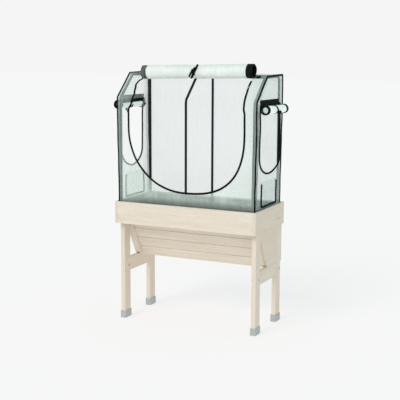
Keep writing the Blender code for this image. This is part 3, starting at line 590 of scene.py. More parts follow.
def film_piece(name, work, material, body):
    """A piece of film from its middle surface."""
    made = new_piece(name, work, material, body)
    apply(made, "SOLIDIFY", thickness=FILM, offset=0.0)
    return made


def settle(made, name, material, body):
    """Fix a ready shape's place and size in its points, and make it a piece of a body."""
    bpy.ops.object.transform_apply(location=True, rotation=True, scale=True)
    made.name = made.data.name = name
    made.data.materials.clear()
    belong(made, material, body)


def cut_film(name, outline, holes, place, material, body, cell=0.009, seam_at=None):
    """A sheet from its flat outline and openings, placed by a function of flat points."""
    loops = [dense([Vector(spot) for spot in loop]) for loop in (outline, *holes)]
    rims = [spot for loop in loops for spot in loop]
    edges = []
    for loop in loops:
        first = len(edges)
        edges += [(first + i, first + (i + 1) % len(loop)) for i in range(len(loop))]
    low = [min(spot[i] for spot in rims) for i in (0, 1)]
    high = [max(spot[i] for spot in rims) for i in (0, 1)]
    across, up = (np.arange(low[i] + cell / 2, high[i], cell) for i in (0, 1))
    grid = np.stack(np.meshgrid(across, up), axis=-1).reshape(-1, 2)
    grid[:, 0] += (np.round((grid[:, 1] - low[1]) / cell) % 2) * cell / 2
    away = distance_to(rims)
    inner = [spot for spot in map(Vector, grid[in_sheet(grid, loops)].tolist())
             if away(spot) > cell * 0.45]
    spots, _, faces, *_ = delaunay_2d_cdt(rims + inner, edges, [], 0, 1e-7)
    centres = np.array([[sum(spots[i][axis] for i in face) / 3 for axis in (0, 1)]
                        for face in faces])
    keep = in_sheet(centres, loops)
    work = bmesh.new()
    cut = work.loops.layers.uv.new("cut")
    seam = work.verts.layers.float.new("seam")
    made = []
    for spot in spots:
        vert = work.verts.new(place(spot.x, spot.y)[0])
        vert[seam] = (seam_at or away)(spot)
        made.append(vert)
    for face, kept in zip(faces, keep):
        if kept:
            facet(work, cut, [made[i] for i in face], [spots[i] for i in face])
    bmesh.ops.delete(work, geom=[vert for vert in work.verts if not vert.link_faces],
                     context="VERTS")
    return film_piece(name, work, material, body)


# %% [markdown]
# ## Laying tape
#
# A binding, a zip or a strap is one narrow cross-section that follows a line, so it is
# laid by one function: at each point of the line it turns the cross-section to face
# the way the film faces there, joins each ring to the next, and closes the ends.

# %% A tape layer


def lay(name, spots, profile, material, body):
    """A band whose cross-section, in points across and out, follows places and their ways."""
    work = bmesh.new()
    cut = work.loops.layers.uv.new("cut")
    last = len(spots) - 1
    rings, runs = [], [0.0]
    for index, (spot, out) in enumerate(spots):
        before = spots[max(index - 1, 0)][0]
        way = (spots[min(index + 1, last)][0] - before).normalized()
        across = way.cross(out).normalized()
        out = across.cross(way)
        rings.append([work.verts.new(spot + across * a + out * b) for a, b in profile])
        if index:
            runs.append(runs[-1] + (spot - before).length)
    girth = [0.0]
    for (a0, b0), (a1, b1) in zip(profile, profile[1:] + profile[:1]):
        girth.append(girth[-1] + math.hypot(a1 - a0, b1 - b0))
    count = len(profile)
    for first, second, low, high in zip(rings, rings[1:], runs, runs[1:]):
        for i in range(count):
            j = (i + 1) % count
            facet(work, cut, (first[i], second[i], second[j], first[j]),
                  ((low, girth[i]), (high, girth[i]), (high, girth[i + 1]), (low, girth[i + 1])))
    work.faces.new(rings[0])
    work.faces.new(rings[-1][::-1])
    bmesh.ops.recalc_face_normals(work, faces=work.faces)
    return new_piece(name, work, material, body)


def flat_tape(width, thick, lift=0.0, bead=0.0):
    """A flat tape's cross-section with rounded edges, and a bead along its middle."""
    half, soft = width / 2, thick * 0.3
    low, high = lift, lift + thick
    outline = [(-half, low + soft), (-half, high - soft), (-half + soft, high)]
    if bead:
        for step in range(7):
            angle = math.pi * step / 6
            outline.append((-bead * math.cos(angle), high + bead * 1.1 * math.sin(angle)))
    return outline + [(half - soft, high), (half, high - soft), (half, low + soft),
                      (half - soft, low), (-half + soft, low)]


def rolled_tape(width, height, lift):
    """The cross-section of a tape folded over an edge into a round bead."""
    return [(-width / 2 * math.cos(angle), lift + height * math.sin(angle))
            for angle in (math.pi * step / 10 for step in range(11))]


# %% [markdown]
# ## Clear PVC film
#
# The cover is calendered PVC film a fraction of a millimetre thick. It is clear but
# never invisible: it has a faint green-grey body, a soft shine that breaks up over its
# creases, and a milky bloom where moisture and folds have dulled it. Here the body is
# the shader's alpha, so that what stands behind shows through, and noise stretched up
# and down the film gives streaks of bloom. Each sheet asks for its own amount of bloom.
# The film is doubled and stitched along its seams, so there it is greyer. Damp air
# hazes it, and a painted shade darkens its foot for the dark inside of the trough seen
# through it. The wound vent flaps glow faintly, which stands for the light that comes
# through many turns of film.

# %% Film
FILM_TINT = "#c6ddd3"
FILM_MILK = "#f0f7f2"
SEAM_GREY = "#76857f"
# The grey of the painted shade laid over the film's foot, for the dark trough seen through it.
FOOT_SHADE_GREY = "#50625b"
FOLD_GREY = "#44524d"
PVC_IOR = 1.53
CREASE_MM = 55.0
STREAK_MM = 26.0
HEM_SOFT = 0.002


def calc(tree, kind, *values):
    """A Math node on some values or outputs."""
    return add(tree, "ShaderNodeMath", dict(enumerate(values)), operation=kind).outputs[0]


def ranged(tree, value, low, high, to_low=0.0, to_high=1.0, kind="LINEAR"):
    """A value taken from one range to another."""
    made = add(tree, "ShaderNodeMapRange",
               {"Value": value, "From Min": low, "From Max": high, "To Min": to_low,
                "To Max": to_high}, interpolation_type=kind)
    return made.outputs[0]


def laid_over(tree, alpha, tone, share, code):
    """An alpha and a tone with a share of another tone laid over them."""
    rest = calc(tree, "SUBTRACT", 1.0, share)
    alpha = calc(tree, "SUBTRACT", 1.0, calc(tree, "MULTIPLY", calc(tree, "SUBTRACT", 1.0, alpha),
                                             rest))
    own = calc(tree, "DIVIDE", share, calc(tree, "MAXIMUM", alpha, 0.01))
    tone = add(tree, "ShaderNodeMix", {"Factor": own, 6: tone, 7: linear(code)},
               data_type="RGBA").outputs[2]
    return alpha, tone


def film(name, body, bloom, hem=None, fades=(), mists=(), foot_shade=None, tint=FILM_TINT,
         milk=FILM_MILK, clear=0.0, matt=0.0, glow=0.0):
    """Clear film: body and bloom as alpha, a hem, mists, painted shade at the foot, a clear edge.
    """
    material, tree, shader = new_material("clear calendered PVC film " + name)
    place = add(tree, "ShaderNodeTexCoord").outputs["Object"]
    spot = add(tree, "ShaderNodeSeparateXYZ", {"Vector": place}).outputs
    tall = add(tree, "ShaderNodeMapping", {"Vector": place, "Scale": (1.0, 1.0, 0.16)})
    streak = add(tree, "ShaderNodeTexNoise", {"Vector": tall.outputs[0], "Detail": 4.0,
                                              "Scale": 1000 / STREAK_MM}).outputs["Fac"]
    cloud = add(tree, "ShaderNodeTexNoise", {"Vector": place, "Scale": 7.0,
                                             "Detail": 4.0}).outputs["Fac"]
    dull = ranged(tree, calc(tree, "MULTIPLY", streak, cloud), 0.17, 0.40)
    alpha = ranged(tree, dull, 0.0, 1.0, body, body + bloom)
    tone = ramp(tree, dull, (0.0, tint), (1.0, milk))
    for axis, low, high, thick, code in mists:
        damp = ranged(tree, spot[axis], low, high, thick, 0.0, "SMOOTHSTEP")
        damp = calc(tree, "MULTIPLY", damp, ranged(tree, cloud, 0.34, 0.62, 0.55, 1.0))
        alpha, tone = laid_over(tree, alpha, tone, damp, code)
    # Painted shade: the film darkens towards its foot, a little less at the left corner, for the
    # dark inside of the trough seen through it.
    if foot_shade:
        low, high, thick = foot_shade
        foot_shade_share = ranged(tree, calc(tree, "MULTIPLY_ADD", cloud, -0.05, spot["Z"]), low - 0.025,
                      high - 0.025, thick, 0.0, "SMOOTHSTEP")
        foot_shade_share = calc(tree, "MULTIPLY", foot_shade_share, ranged(tree, spot["X"], -0.49, -0.30, 0.10, 1.0))
        alpha, tone = laid_over(tree, alpha, tone, foot_shade_share, FOOT_SHADE_GREY)
    edge = add(tree, "ShaderNodeAttribute", attribute_name="seam").outputs["Fac"]
    if hem:
        near, far, share = hem
        for axis, low, high, first, last in fades:
            share = calc(tree, "MULTIPLY", share, ranged(tree, spot[axis], low, high, first, last))
        line = calc(tree, "MULTIPLY", ranged(tree, edge, near, near + HEM_SOFT),
                    ranged(tree, edge, far, far + HEM_SOFT, 1.0, 0.0))
        line = calc(tree, "MULTIPLY", line, ranged(tree, streak, 0.35, 0.65, 0.6, 1.0))
        alpha, tone = laid_over(tree, alpha, tone, calc(tree, "MULTIPLY", line, share), SEAM_GREY)
        fold = calc(tree, "COMPARE", edge, far, 0.0026)
        fold = calc(tree, "MULTIPLY", fold, ranged(tree, streak, 0.35, 0.60, 0.40, 0.85))
        alpha, tone = laid_over(tree, alpha, tone, calc(tree, "MULTIPLY", fold, share), FOLD_GREY)
    if clear:
        alpha = calc(tree, "MULTIPLY", alpha, ranged(tree, edge, clear, clear + 0.006, 0.08))
    tree.links.new(tone, shader.inputs["Base Color"])
    tree.links.new(alpha, shader.inputs["Alpha"])
    crease = add(tree, "ShaderNodeTexNoise", {"Vector": tall.outputs[0], "Detail": 2.0,
                                              "Scale": 1000 / CREASE_MM, "Distortion": 0.6})
    raised = add(tree, "ShaderNodeBump", {"Height": crease.outputs["Fac"], "Strength": 0.5,
                                          "Distance": 0.008})
    tree.links.new(raised.outputs[0], shader.inputs["Normal"])
    tree.links.new(ranged(tree, dull, 0.0, 1.0, 0.12 + matt, 0.34 + matt),
                   shader.inputs["Roughness"])
    shader.inputs["IOR"].default_value = PVC_IOR
    shader.inputs["Emission Color"].default_value = linear(milk)
    shader.inputs["Emission Strength"].default_value = glow
    return material


# The last settings of the front and the sides paint shade at their foot, for the dark trough seen
# through them.
FILM_FRONT = film("of the front", 0.11, 0.07, hem=(0.005, 0.020, 0.80),
                  fades=[("Z", 1.34, 1.50, 1.0, 0.22)],
                  mists=[("Z", 0.80, 1.20, 0.28, "#eaf4ec"), ("X", 0.495, 0.43, 0.30, "#d4e2da"),
                         ("X", -0.495, -0.43, 0.30, "#d4e2da")], foot_shade=(0.80, 0.852, 0.60))
FILM_BACK = film("of the roof and back", 0.11, 0.03, tint="#bfdada", milk="#d8e8e6",
                 mists=[("X", 0.36, 0.20, 0.10, "#a3cbbc")])
FILM_SIDE = film("of the sides", 0.11, 0.06, hem=(0.015, 0.033, 0.70),
                 fades=[("Z", 1.40, 1.48, 1.0, 0.25), ("Y", -0.16, -0.10, 1.0, 0.35)],
                 mists=[("Z", 0.80, 1.00, 0.10, "#dfebe4"), ("Y", 0.26, 0.08, 0.40, "#d4e2da")],
                 foot_shade=(0.80, 0.84, 0.25))
FILM_FLAP = film("of the access flaps", 0.20, 0.08, tint="#b3ccc2", milk="#dbe5df")

# %% [markdown]
# ## Black tape
#
# The film is bound with black polyester tape, woven in a fine herringbone twill, and
# stitched down with black thread. The weave is much finer than the render can show, so
# its ribs are drawn 1 to 2.5 mm wide. The door's zip has the same tape, with a nylon
# coil down the middle.

# %% Woven tape and zip
TAPE_BLACK = "#050b09"
TAPE_WORN = "#131e1a"
RIB_MM = 1.2
COIL_MM = 1.6


def tape(name, dark, worn, rib_mm, rough, depth):
    """Woven tape, whose ribs run across its length in its own flat layout."""
    material, tree, shader = new_material(name)
    cut = add(tree, "ShaderNodeUVMap", uv_map="cut").outputs["UV"]
    turned = add(tree, "ShaderNodeMapping", {"Vector": cut, "Rotation": (0.0, 0.0, 0.6)})
    ribs = add(tree, "ShaderNodeTexWave", {"Vector": turned.outputs[0], "Detail": 1.0,
                                           "Scale": 1000 / rib_mm / math.tau * 2,
                                           "Distortion": 0.8})
    place = add(tree, "ShaderNodeTexCoord").outputs["Object"]
    rubbed = add(tree, "ShaderNodeTexNoise", {"Vector": place, "Scale": 45.0, "Detail": 4.0})
    both = add(tree, "ShaderNodeMath", {0: ribs.outputs["Fac"], 1: rubbed.outputs["Fac"]},
               operation="MULTIPLY")
    tree.links.new(ramp(tree, both.outputs[0], (0.10, dark), (0.62, worn)),
                   shader.inputs["Base Color"])
    shader.inputs["Roughness"].default_value = rough
    shader.inputs["Specular IOR Level"].default_value = 0.10
    raised = add(tree, "ShaderNodeBump", {"Height": ribs.outputs["Fac"], "Strength": 0.6,
                                          "Distance": depth})
    tree.links.new(raised.outputs[0], shader.inputs["Normal"])
    return material


TAPE = tape("woven black polyester tape", TAPE_BLACK, TAPE_WORN, RIB_MM, 0.72, 0.0003)
ZIP = tape("black polyester zip tape with a nylon coil", "#080f0d", "#141d1a", COIL_MM, 0.55,
           0.0005)
BAND = tape("woven black polyester webbing", "#050a08", "#0f1816", 2.4, 0.75, 0.0005)


# %% [markdown]
# ## The front and its door opening
#
# The front is one sheet from the skirt to the crest, with a large opening that is round
# at its foot. The zip round the opening hangs a little slack where the rolled door pulls
# on it, so its edge wanders by some centimetres near the top, more on the left. The
# line is drawn from a curve for its round foot and a small table of offsets above it.

# %% The line of the door
DOOR_HALF = 0.405
DOOR_SILL = 0.885
DOOR_ROUND = 0.415
DOOR_POWERS = {-1: 2.1, 1: 2.7}
DOOR_SLACK = {-1: ((-0.080, 0.0), (-0.030, 0.021), (0.015, 0.030), (0.052, 0.017),
                   (0.082, 0.007), (0.100, 0.012), (0.120, 0.036)),
              1: ((-0.080, 0.0), (-0.044, 0.006), (0.0, 0.003), (0.039, 0.009),
                  (0.088, 0.015), (0.120, 0.013))}
DOOR_STEPS = 40


def eased(table, value):
    """A value read from a table of places, with soft steps between them."""
    for (low, first), (high, second) in zip(table, table[1:]):
        if value <= high:
            return first + (second - first) * smooth((value - low) / (high - low))
    return table[-1][1]


def half_door(side, grow):
    """One half of the door's edge from its top to its foot, in X and run."""
    table, power = DOOR_SLACK[side], DOOR_POWERS[side]
    top, straight = KNEE_Z + table[-1][0], DOOR_SILL + DOOR_ROUND
    made = []
    for step in range(DOOR_STEPS):
        height = top + (straight - top) * step / DOOR_STEPS
        inset = eased(table, height - KNEE_Z) if height > KNEE_Z + table[0][0] else 0.0
        made.append(Vector((side * (DOOR_HALF + grow - inset), run_at(height))))
    for step in range(DOOR_STEPS + 1):
        angle = math.pi / 2 * step / DOOR_STEPS
        made.append(Vector((side * (DOOR_HALF + grow) * math.cos(angle) ** (2 / power),
                            run_at(straight - (DOOR_ROUND + grow)
                                   * math.sin(angle) ** (2 / power)))))
    return made


def door_edge(grow=0.0):
    """The door's edge from its left top, down and round, to its right top."""
    return half_door(-1, grow) + half_door(1, grow)[-2::-1]


# %% The front film
ZIP_OVERLAP = 0.004

edge = door_edge(-ZIP_OVERLAP)
outline = [(-COVER_X, 0.0), (COVER_X, 0.0), (COVER_X, CREST_RUN), (edge[-1].x, CREST_RUN)]
outline += [tuple(spot) for spot in reversed(edge)] + [(edge[0].x, CREST_RUN)]
outline += [(-COVER_X, CREST_RUN)]
front = cut_film("cover_front_film", outline, [], wrap, FILM_FRONT, "cover",
                 seam_at=lambda spot: COVER_X - abs(spot.x))
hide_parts("cover_front")
area_front = flat_area([Vector(spot) for spot in outline])

# %% [markdown]
# ## The door's zip
#
# The zip is a tape with a nylon coil along its middle. It follows the door's edge, and
# its slider waits at the upper right, where the rolled door ends.

# %% The zip and its slider
ZIP_WIDTH = 0.0135
ZIP_END_WIDTH = 0.020
ZIP_TAPE = 0.0010
ZIP_BEAD = 0.0026

spots = [wrap(spot.x, spot.y) for spot in door_edge()]
door_zip = lay("door_zip", spots, flat_tape(ZIP_WIDTH, ZIP_TAPE, FILM / 2, ZIP_BEAD), ZIP,
               "cover")
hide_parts("door_piping")
end_line = [Vector((0.4170, run_at(KNEE_Z + 0.140))), Vector((0.4390, CREST_RUN - 0.004))]
spots = [wrap(spot.x, spot.y) for spot in fine(end_line, 0.006)]
lay("door_zip_top_end", spots, flat_tape(ZIP_END_WIDTH, ZIP_TAPE, FILM / 2), ZIP, "cover")

# %% The slider and its pull
SLIDER_SIZE = (0.0085, 0.0115, 0.0042)
PULL_SIZE = (0.0046, 0.021, 0.0014)
SLIDER_HEIGHT = 1.560

slider_spot = min(door_edge(), key=lambda spot: abs(spot.y - run_at(SLIDER_HEIGHT)) + (spot.x < 0))
spot, way = wrap(slider_spot.x, slider_spot.y)
along = (wrap(slider_spot.x, slider_spot.y + 0.01)[0] - spot).normalized()
turn = Matrix((along.cross(way), along, way)).transposed().to_4x4()
for name, size, out, down in (("door_zip_slider", SLIDER_SIZE, 0.0052, 0.0),
                              ("door_zip_pull", PULL_SIZE, 0.0082, 0.013)):
    bpy.ops.object.select_all(action="DESELECT")
    bpy.ops.mesh.primitive_cube_add(size=1.0)
    piece = bpy.context.object
    piece.matrix_world = (Matrix.Translation(spot + way * out - along * down) @ turn
                          @ Matrix.Diagonal((*size, 1.0)))
    settle(piece, name, ZINC_STEEL, "cover")
    apply(piece, "BEVEL", width=0.0006, segments=2)

# %% [markdown]
# ## Roof and back, and the sides
#
# The roof and the back are one sheet that goes over the crest and down behind. Each
# side is a sheet of its own, cut to the outline of the section, with an opening for the
# vent and one for the access flap.

# %% The roof and back, and the sides
VENT_LOW_Y = -0.172
VENT_HIGH_Y = 0.141
VENT_FOOT_Y = {-1: 0.113, 1: 0.183}
VENT_HEAD = 1.458
VENT_FOOT = 1.018
VENT_ROUND = 0.110
FLAP_LOW_Y = -0.118
FLAP_HIGH_Y = 0.126
FLAP_FOOT = 0.815
FLAP_TOP = 0.972
FLAP_CORNER = 0.010
ROUND_STEPS = 28


def vent_edge(side, grow=0.0):
    """A vent's edge from its front top, down and round, and up its leaning rear."""
    low, foot = VENT_LOW_Y - grow, VENT_FOOT_Y[side] + grow
    middle, half = (low + foot) / 2, (foot - low) / 2
    round_z = VENT_FOOT + VENT_ROUND
    made = [Vector((low, VENT_HEAD))]
    for step in range(ROUND_STEPS + 1):
        angle = math.pi * step / ROUND_STEPS
        made.append(Vector((middle - half * math.cos(angle),
                            round_z - (VENT_ROUND + grow) * math.sin(angle))))
    for step in range(1, ROUND_STEPS + 1):
        share = step / ROUND_STEPS
        made.append(Vector((foot + (VENT_HIGH_Y + grow - foot) * share ** 1.5,
                            round_z + (VENT_HEAD - round_z) * share)))
    return made


def flap_edge(grow=0.0):
    """An access flap's edge from its front top, down and round, to its back top."""
    low, high, foot = FLAP_LOW_Y - grow, FLAP_HIGH_Y + grow, FLAP_FOOT - grow
    return rounded([Vector(spot) for spot in ((low, FLAP_TOP), (low, foot), (high, foot),
                                              (high, FLAP_TOP))], FLAP_CORNER, 5)


back = cut_film("cover_roof_back_film", [(-COVER_X, CREST_RUN), (COVER_X, CREST_RUN),
                                         (COVER_X, RUNS[-1]), (-COVER_X, RUNS[-1])],
                [], wrap, FILM_BACK, "cover", cell=0.012,
                seam_at=lambda spot: COVER_X - abs(spot.x))
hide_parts("cover_roof_back")
sides, to_rim = {}, distance_to(dense(SECTION))
SIDES = ((-1, "left"), (1, "right"))
for side, name in SIDES:
    openings = [dense(vent_edge(side, -ZIP_OVERLAP)), dense(flap_edge(0.001))]
    sides[name] = cut_film(f"cover_side_{name}_film", SECTION, openings,
                           lambda y, z, side=side: flank(side, y, z), FILM_SIDE, "cover",
                           seam_at=to_rim)
    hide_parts(f"cover_side_{name}")


# %% [markdown]
# ## The bindings of the cover's corners
#
# A black tape folded over the seam binds the film along both sides of the front, over
# the roof and down the back. Its cross-section is a small bead on the corner with one
# leg on the front and one on the side, so it is laid along the section in one run.

# %% Corner bindings
BIND_FRONT = 0.0060
BIND_SIDE = 0.0095
BIND_BEAD = 0.0044
BIND_TAPE = 0.0010
BIND_STEP = 0.012


low = FILM / 2
corner = [(-BIND_FRONT, low), (-BIND_FRONT, low + BIND_TAPE)]
for step in range(9):
    angle = math.radians(160 - 230 * step / 8)
    corner.append((BIND_BEAD * math.cos(angle), BIND_BEAD * math.sin(angle)))
corner += [(low + BIND_TAPE, -BIND_SIDE), (low, -BIND_SIDE), (low, low)]
for side, name in SIDES:
    path = [splayed(Vector((side * COVER_X, spot.x, spot.y))) for spot in fine(SECTION, BIND_STEP)]
    spots = []
    for spot, before, after in zip(path, path[:1] + path, path[1:] + path[-1:]):
        way = after - before
        spots.append((spot, Vector((0.0, -way.z, way.y)).normalized()))
    lay(f"side_binding_{name}", spots, [(side * a, b) for a, b in corner],
                         TAPE, "cover")
    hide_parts(f"side_piping_{name}")

# %% [markdown]
# ## The vents' frames
#
# Round each vent runs a binding, and across its head lies a band of black webbing that
# the rolled flap is sewn to. Both lie on the outside of the film.

# %% Vent bindings and header bands
VENT_TAPE = 0.0125
VENT_BEAD = 0.0080
BAND_HEIGHT = 0.038
BAND_TILT = 0.025
BAND_CLOTH = 0.0018
BAND_STEP = 0.010

for side, name in SIDES:
    spots = [flank(side, spot.x, spot.y) for spot in fine(vent_edge(side), BAND_STEP)]
    ring = lay(f"vent_binding_{name}", spots, rolled_tape(VENT_TAPE, VENT_BEAD, FILM / 2), TAPE,
               "cover")
    middle = VENT_HEAD - 0.010 + BAND_HEIGHT / 2
    count = round((VENT_HIGH_Y - VENT_LOW_Y + 0.006) / BAND_STEP)
    spots = [flank(side, y, middle - BAND_TILT * y, 0.0008)
             for y in np.linspace(VENT_LOW_Y - 0.003, VENT_HIGH_Y + 0.003, count + 1)]
    band = lay(f"vent_band_{name}", spots, flat_tape(BAND_HEIGHT, BAND_CLOTH, FILM / 2), BAND,
               "cover")
    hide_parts(f"vent_surround_{name}")
    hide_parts(f"vent_surround_{name}")

# %% [markdown]
# ## Rolled flaps
#
# The door and the vents' flaps are rolled up and tied. A roll is one flat flap wound
# round itself: it hangs a little way down from its seam, then each turn lies inside the
# last. The flap is laid out as a grid of points by how far each one is from the seam
# and from the flap's middle, and the winding function says where such a point ends up.
# A little unevenness is added, and the roll is drawn in where the tie squeezes it.

# %% The winding
TURN_STEPS = 30


class Winding:
    """A flap that runs straight from its seam, then winds inwards, in a flat plane."""

    def __init__(self, start, along, away, tail, radius, pitch, length):
        self.start, self.along, self.away = Vector(start), Vector(along), Vector(away)
        self.tail, self.radius, self.pitch = tail, radius, pitch
        self.centre = self.start + self.along * tail + self.away * radius
        turns = (radius - math.sqrt(radius ** 2 - pitch * (length - tail) / math.pi)) / pitch
        self.angles = [math.tau * step / TURN_STEPS
                       for step in range(round(turns * TURN_STEPS) + 1)]
        self.runs = [tail]
        for before, after in zip(self.angles, self.angles[1:]):
            self.runs.append(self.runs[-1] + (after - before)
                             * (radius - pitch * (before + after) / 2 / math.tau))
        self.steps = [(tail * 3 / 4, None), *zip(self.runs, self.angles)]

    def at(self, angle, lift):
        """The place at an angle of the winding, and the way that its outer face looks."""
        reach = self.radius - self.pitch * angle / math.tau + lift
        way = self.along * math.sin(angle) - self.away * math.cos(angle)
        return self.centre + way * reach, way


def roll_up(name, winding, reach, place, material, body, across):
    """A wound flap: reach gives its two edges at a run, place turns a point to 3-D."""
    work = bmesh.new()
    cut = work.loops.layers.uv.new("cut")
    seam = work.verts.layers.float.new("seam")
    rows, runs = [], []
    for run, angle in winding.steps:
        low, high = reach(run)
        row = []
        for index in range(across + 1):
            u = low + (high - low) * index / across
            vert = work.verts.new(place(u, run, angle, 0.0)[0])
            vert[seam] = min(u - low, high - u)
            row.append((vert, u))
        rows.append(row)
        runs.append(run)
    for first, second, low, high in zip(rows, rows[1:], runs, runs[1:]):
        for (a, ua), (b, ub), (c, uc), (d, ud) in zip(first, first[1:], second[1:], second):
            facet(work, cut, (a, d, c, b), ((ua, low), (ud, high), (uc, high), (ub, low)))
    return film_piece(name, work, material, body)


# %% [markdown]
# ### The rolled door
#
# The door is wound from its round foot up to the crest. It was rolled a little askew,
# so its right end stands higher, and its zip tape has piled up into a black band at that
# end, while at the other end it lies under the film.

# %% The rolled door
DOOR_FLAP_HALF = 0.3815
DOOR_FLAP_SHIFT = 0.0305
DOOR_FLAP_LENGTH = 0.8189
DOOR_SKEW = 0.0160
DOOR_SEAM = (-0.05269, 1.63248)
DOOR_TAIL = 0.0204
DOOR_RADIUS = 0.04625
DOOR_PITCH = 0.0055
SLOPE = Vector((CREST_Y - COVER_FRONT, ROOF_Z - KNEE_Z)).normalized()
ROLL_WAVE = 0.0016
WAIST_DEPTH = 0.0035
WAIST_WIDTH = 0.045
STRAP_LOW_X = -0.022
STRAP_HIGH_X = 0.038

door_wind = Winding(DOOR_SEAM, -SLOPE, (-SLOPE.y, SLOPE.x), DOOR_TAIL, DOOR_RADIUS, DOOR_PITCH,
                    DOOR_FLAP_LENGTH)


def strap_at(angle):
    """How far to the right the strap crosses the roll at an angle."""
    return STRAP_LOW_X + (STRAP_HIGH_X - STRAP_LOW_X) * (0.5 - 0.5 * math.cos(angle))


def door_place(u, run, angle, lift):
    """A place on the rolled door from its distance to the middle and its turn."""
    x = u + DOOR_FLAP_SHIFT
    if angle is None:
        spot = door_wind.start - SLOPE * (run - DOOR_SKEW * u / DOOR_FLAP_HALF
                                          * smooth(run / door_wind.tail))
        return Vector((x, *spot)), Vector((0.0, -SLOPE.y, SLOPE.x))
    off = (x - strap_at(angle)) / WAIST_WIDTH
    waist = WAIST_DEPTH * math.exp(-off ** 2) * (angle < math.tau)
    wave = ROLL_WAVE * noise.noise(Vector((x * 9, math.cos(angle) * 0.8,
                                           math.sin(angle) * 0.8 + 3)))
    spot, way = door_wind.at(angle, lift + wave - waist)
    spot = spot + SLOPE * DOOR_SKEW * u / DOOR_FLAP_HALF
    return Vector((x, *spot)), Vector((0.0, *way))


def door_reach(run):
    """The two edges of the door's flap at a run, which close in at its round foot."""
    edges = []
    for side in (-1, 1):
        share = max(0.0, (run - DOOR_FLAP_LENGTH + DOOR_ROUND) / DOOR_ROUND)
        power = DOOR_POWERS[side]
        edges.append(side * DOOR_FLAP_HALF * (1 - min(share, 0.985) ** power) ** (1 / power))
    return edges


FILM_ROLL = film("rolled up in the door", 0.86, 0.05, tint="#eef6f0", milk="#fafdfa",
                 clear=0.035, matt=0.22)
door = roll_up("door_roll_film", door_wind, door_reach, door_place, FILM_ROLL, "door_roll", 110)
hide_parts("door_roll")
spans = [door_reach(run) for run in door_wind.runs]
area_door = door_wind.tail * 2 * DOOR_FLAP_HALF + sum(
    (b[1] - b[0] + a[1] - a[0]) / 2 * (high - low)
    for a, b, low, high in zip(spans, spans[1:], door_wind.runs, door_wind.runs[1:]))
print("door flap area", round(area_door, 3), "m2, turns:",
      round(len(door_wind.angles) / TURN_STEPS, 2))

# %% Its wound tape
EDGE_BANDS = ((1, 0.0115, 0.022, 0.0007, 1.02), (1, 0.0300, 0.017, 0.0005, 1.02),
              (1, 0.0112, 0.024, -0.0015, 99.0), (-1, 0.0150, 0.032, -0.0015, 99.0))
BAND_WANDER = 0.0035
DOOR_TAPE = 0.0009

for index, (side, inset, width, lift, turns) in enumerate(EDGE_BANDS):
    spots = []
    for run, angle in door_wind.steps:
        if angle is None or angle < math.tau * turns:
            edge_u = door_reach(run)[0 if side < 0 else 1]
            wander = BAND_WANDER * noise.noise(Vector((run * 14, index * 5.0, side)))
            spots.append(door_place(edge_u - side * (inset + wander), run, angle, lift))
    lay(f"door_roll_tape_{index + 1}", spots, flat_tape(width, DOOR_TAPE),
                          TAPE, "door_roll")

# %% [markdown]
# ### The strap round the door's roll
#
# A strap of webbing winds once round the roll at a slant and is tied at its top in a
# small bow. The bow's loops and ends are the same webbing laid along short curves.

# %% The strap and its bow
STRAP_WIDTH = 0.013
STRAP_CLOTH = 0.0013
STRAP_TURN = 0.93
STRAP_LIFT = 0.0002
STRAP_KNOT = (0.021, 0.012, 0.019)
STRAND_CLOTH = 0.0014
CURVE_STEPS = 8


def curve_through(spots):
    """A smooth line through places, for short loops and ends."""
    made = []
    ring = [spots[0] * 2 - spots[1]] + list(spots) + [spots[-1] * 2 - spots[-2]]
    for a, b, c, d in zip(ring, ring[1:], ring[2:], ring[3:]):
        for step in range(CURVE_STEPS):
            t = step / CURVE_STEPS
            made.append((b * 2 + (c - a) * t + (a * 2 - b * 5 + c * 4 - d) * t * t
                         + (b * 3 - a - c * 3 + d) * t ** 3) / 2)
    return made + [spots[-1]]


def strand(name, spots, out, width, thick, material, body):
    """A short free end or loop of a narrow tape through a few places."""
    line = curve_through([Vector(spot) for spot in spots])
    return lay(name, [(spot, Vector(out)) for spot in line], flat_tape(width, thick), material,
               body)


def knot(name, spot, size, material, body):
    """A small knot: a ball pressed out of round."""
    bpy.ops.object.select_all(action="DESELECT")
    bpy.ops.mesh.primitive_uv_sphere_add(segments=16, ring_count=10, radius=0.5, location=spot,
                                         scale=size)
    settle(bpy.context.object, name, material, body)
    bpy.ops.object.shade_smooth()


def on_roll(x, angle, lift):
    """A place on the outside of the door's roll at an angle, and the way it faces."""
    return door_place(x - DOOR_FLAP_SHIFT, 0.0, angle, lift)


turns = [math.tau * (0.02 + STRAP_TURN * i / 60) for i in range(61)]
spots = []
for angle in turns:
    spots.append(on_roll(strap_at(angle), angle, FILM / 2 + door_wind.pitch * angle / math.tau))
strap = lay("door_strap_webbing", spots, flat_tape(STRAP_WIDTH, STRAP_CLOTH, STRAP_LIFT), BAND,
            "door_roll")
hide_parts("door_strap")


def on_strap(x, angle, lift=0.004):
    """A place just off the roll's outside."""
    return on_roll(x, math.tau * angle, lift)[0]


outward = on_roll(0.02, math.tau * 0.42, 0.0)[1]
knot("door_strap_knot", on_strap(0.016, 0.40), STRAP_KNOT, BAND, "door_roll")
for name, stops in (("loop", ((0.016, 0.39, 0.004), (0.028, 0.43, 0.010), (0.042, 0.455, 0.011),
                              (0.037, 0.44, 0.008), (0.020, 0.40, 0.004))),
                    ("end_1", ((0.016, 0.40, 0.004), (0.004, 0.33, 0.008),
                               (-0.010, 0.26, 0.009))),
                    ("end_2", ((0.016, 0.40, 0.004), (0.021, 0.34, 0.008),
                               (0.027, 0.29, 0.008)))):
    strand("door_strap_" + name, [on_strap(*stop) for stop in stops], outward, STRAP_WIDTH,
           STRAND_CLOTH, BAND, "door_roll")

# %% [markdown]
# ### The vents' flaps
#
# Each vent's flap is wound outwards below its header band and tied at its middle with a
# soft tape whose two ends hang down. The black binding along the flap's edges shows as
# rings at both ends of the roll.

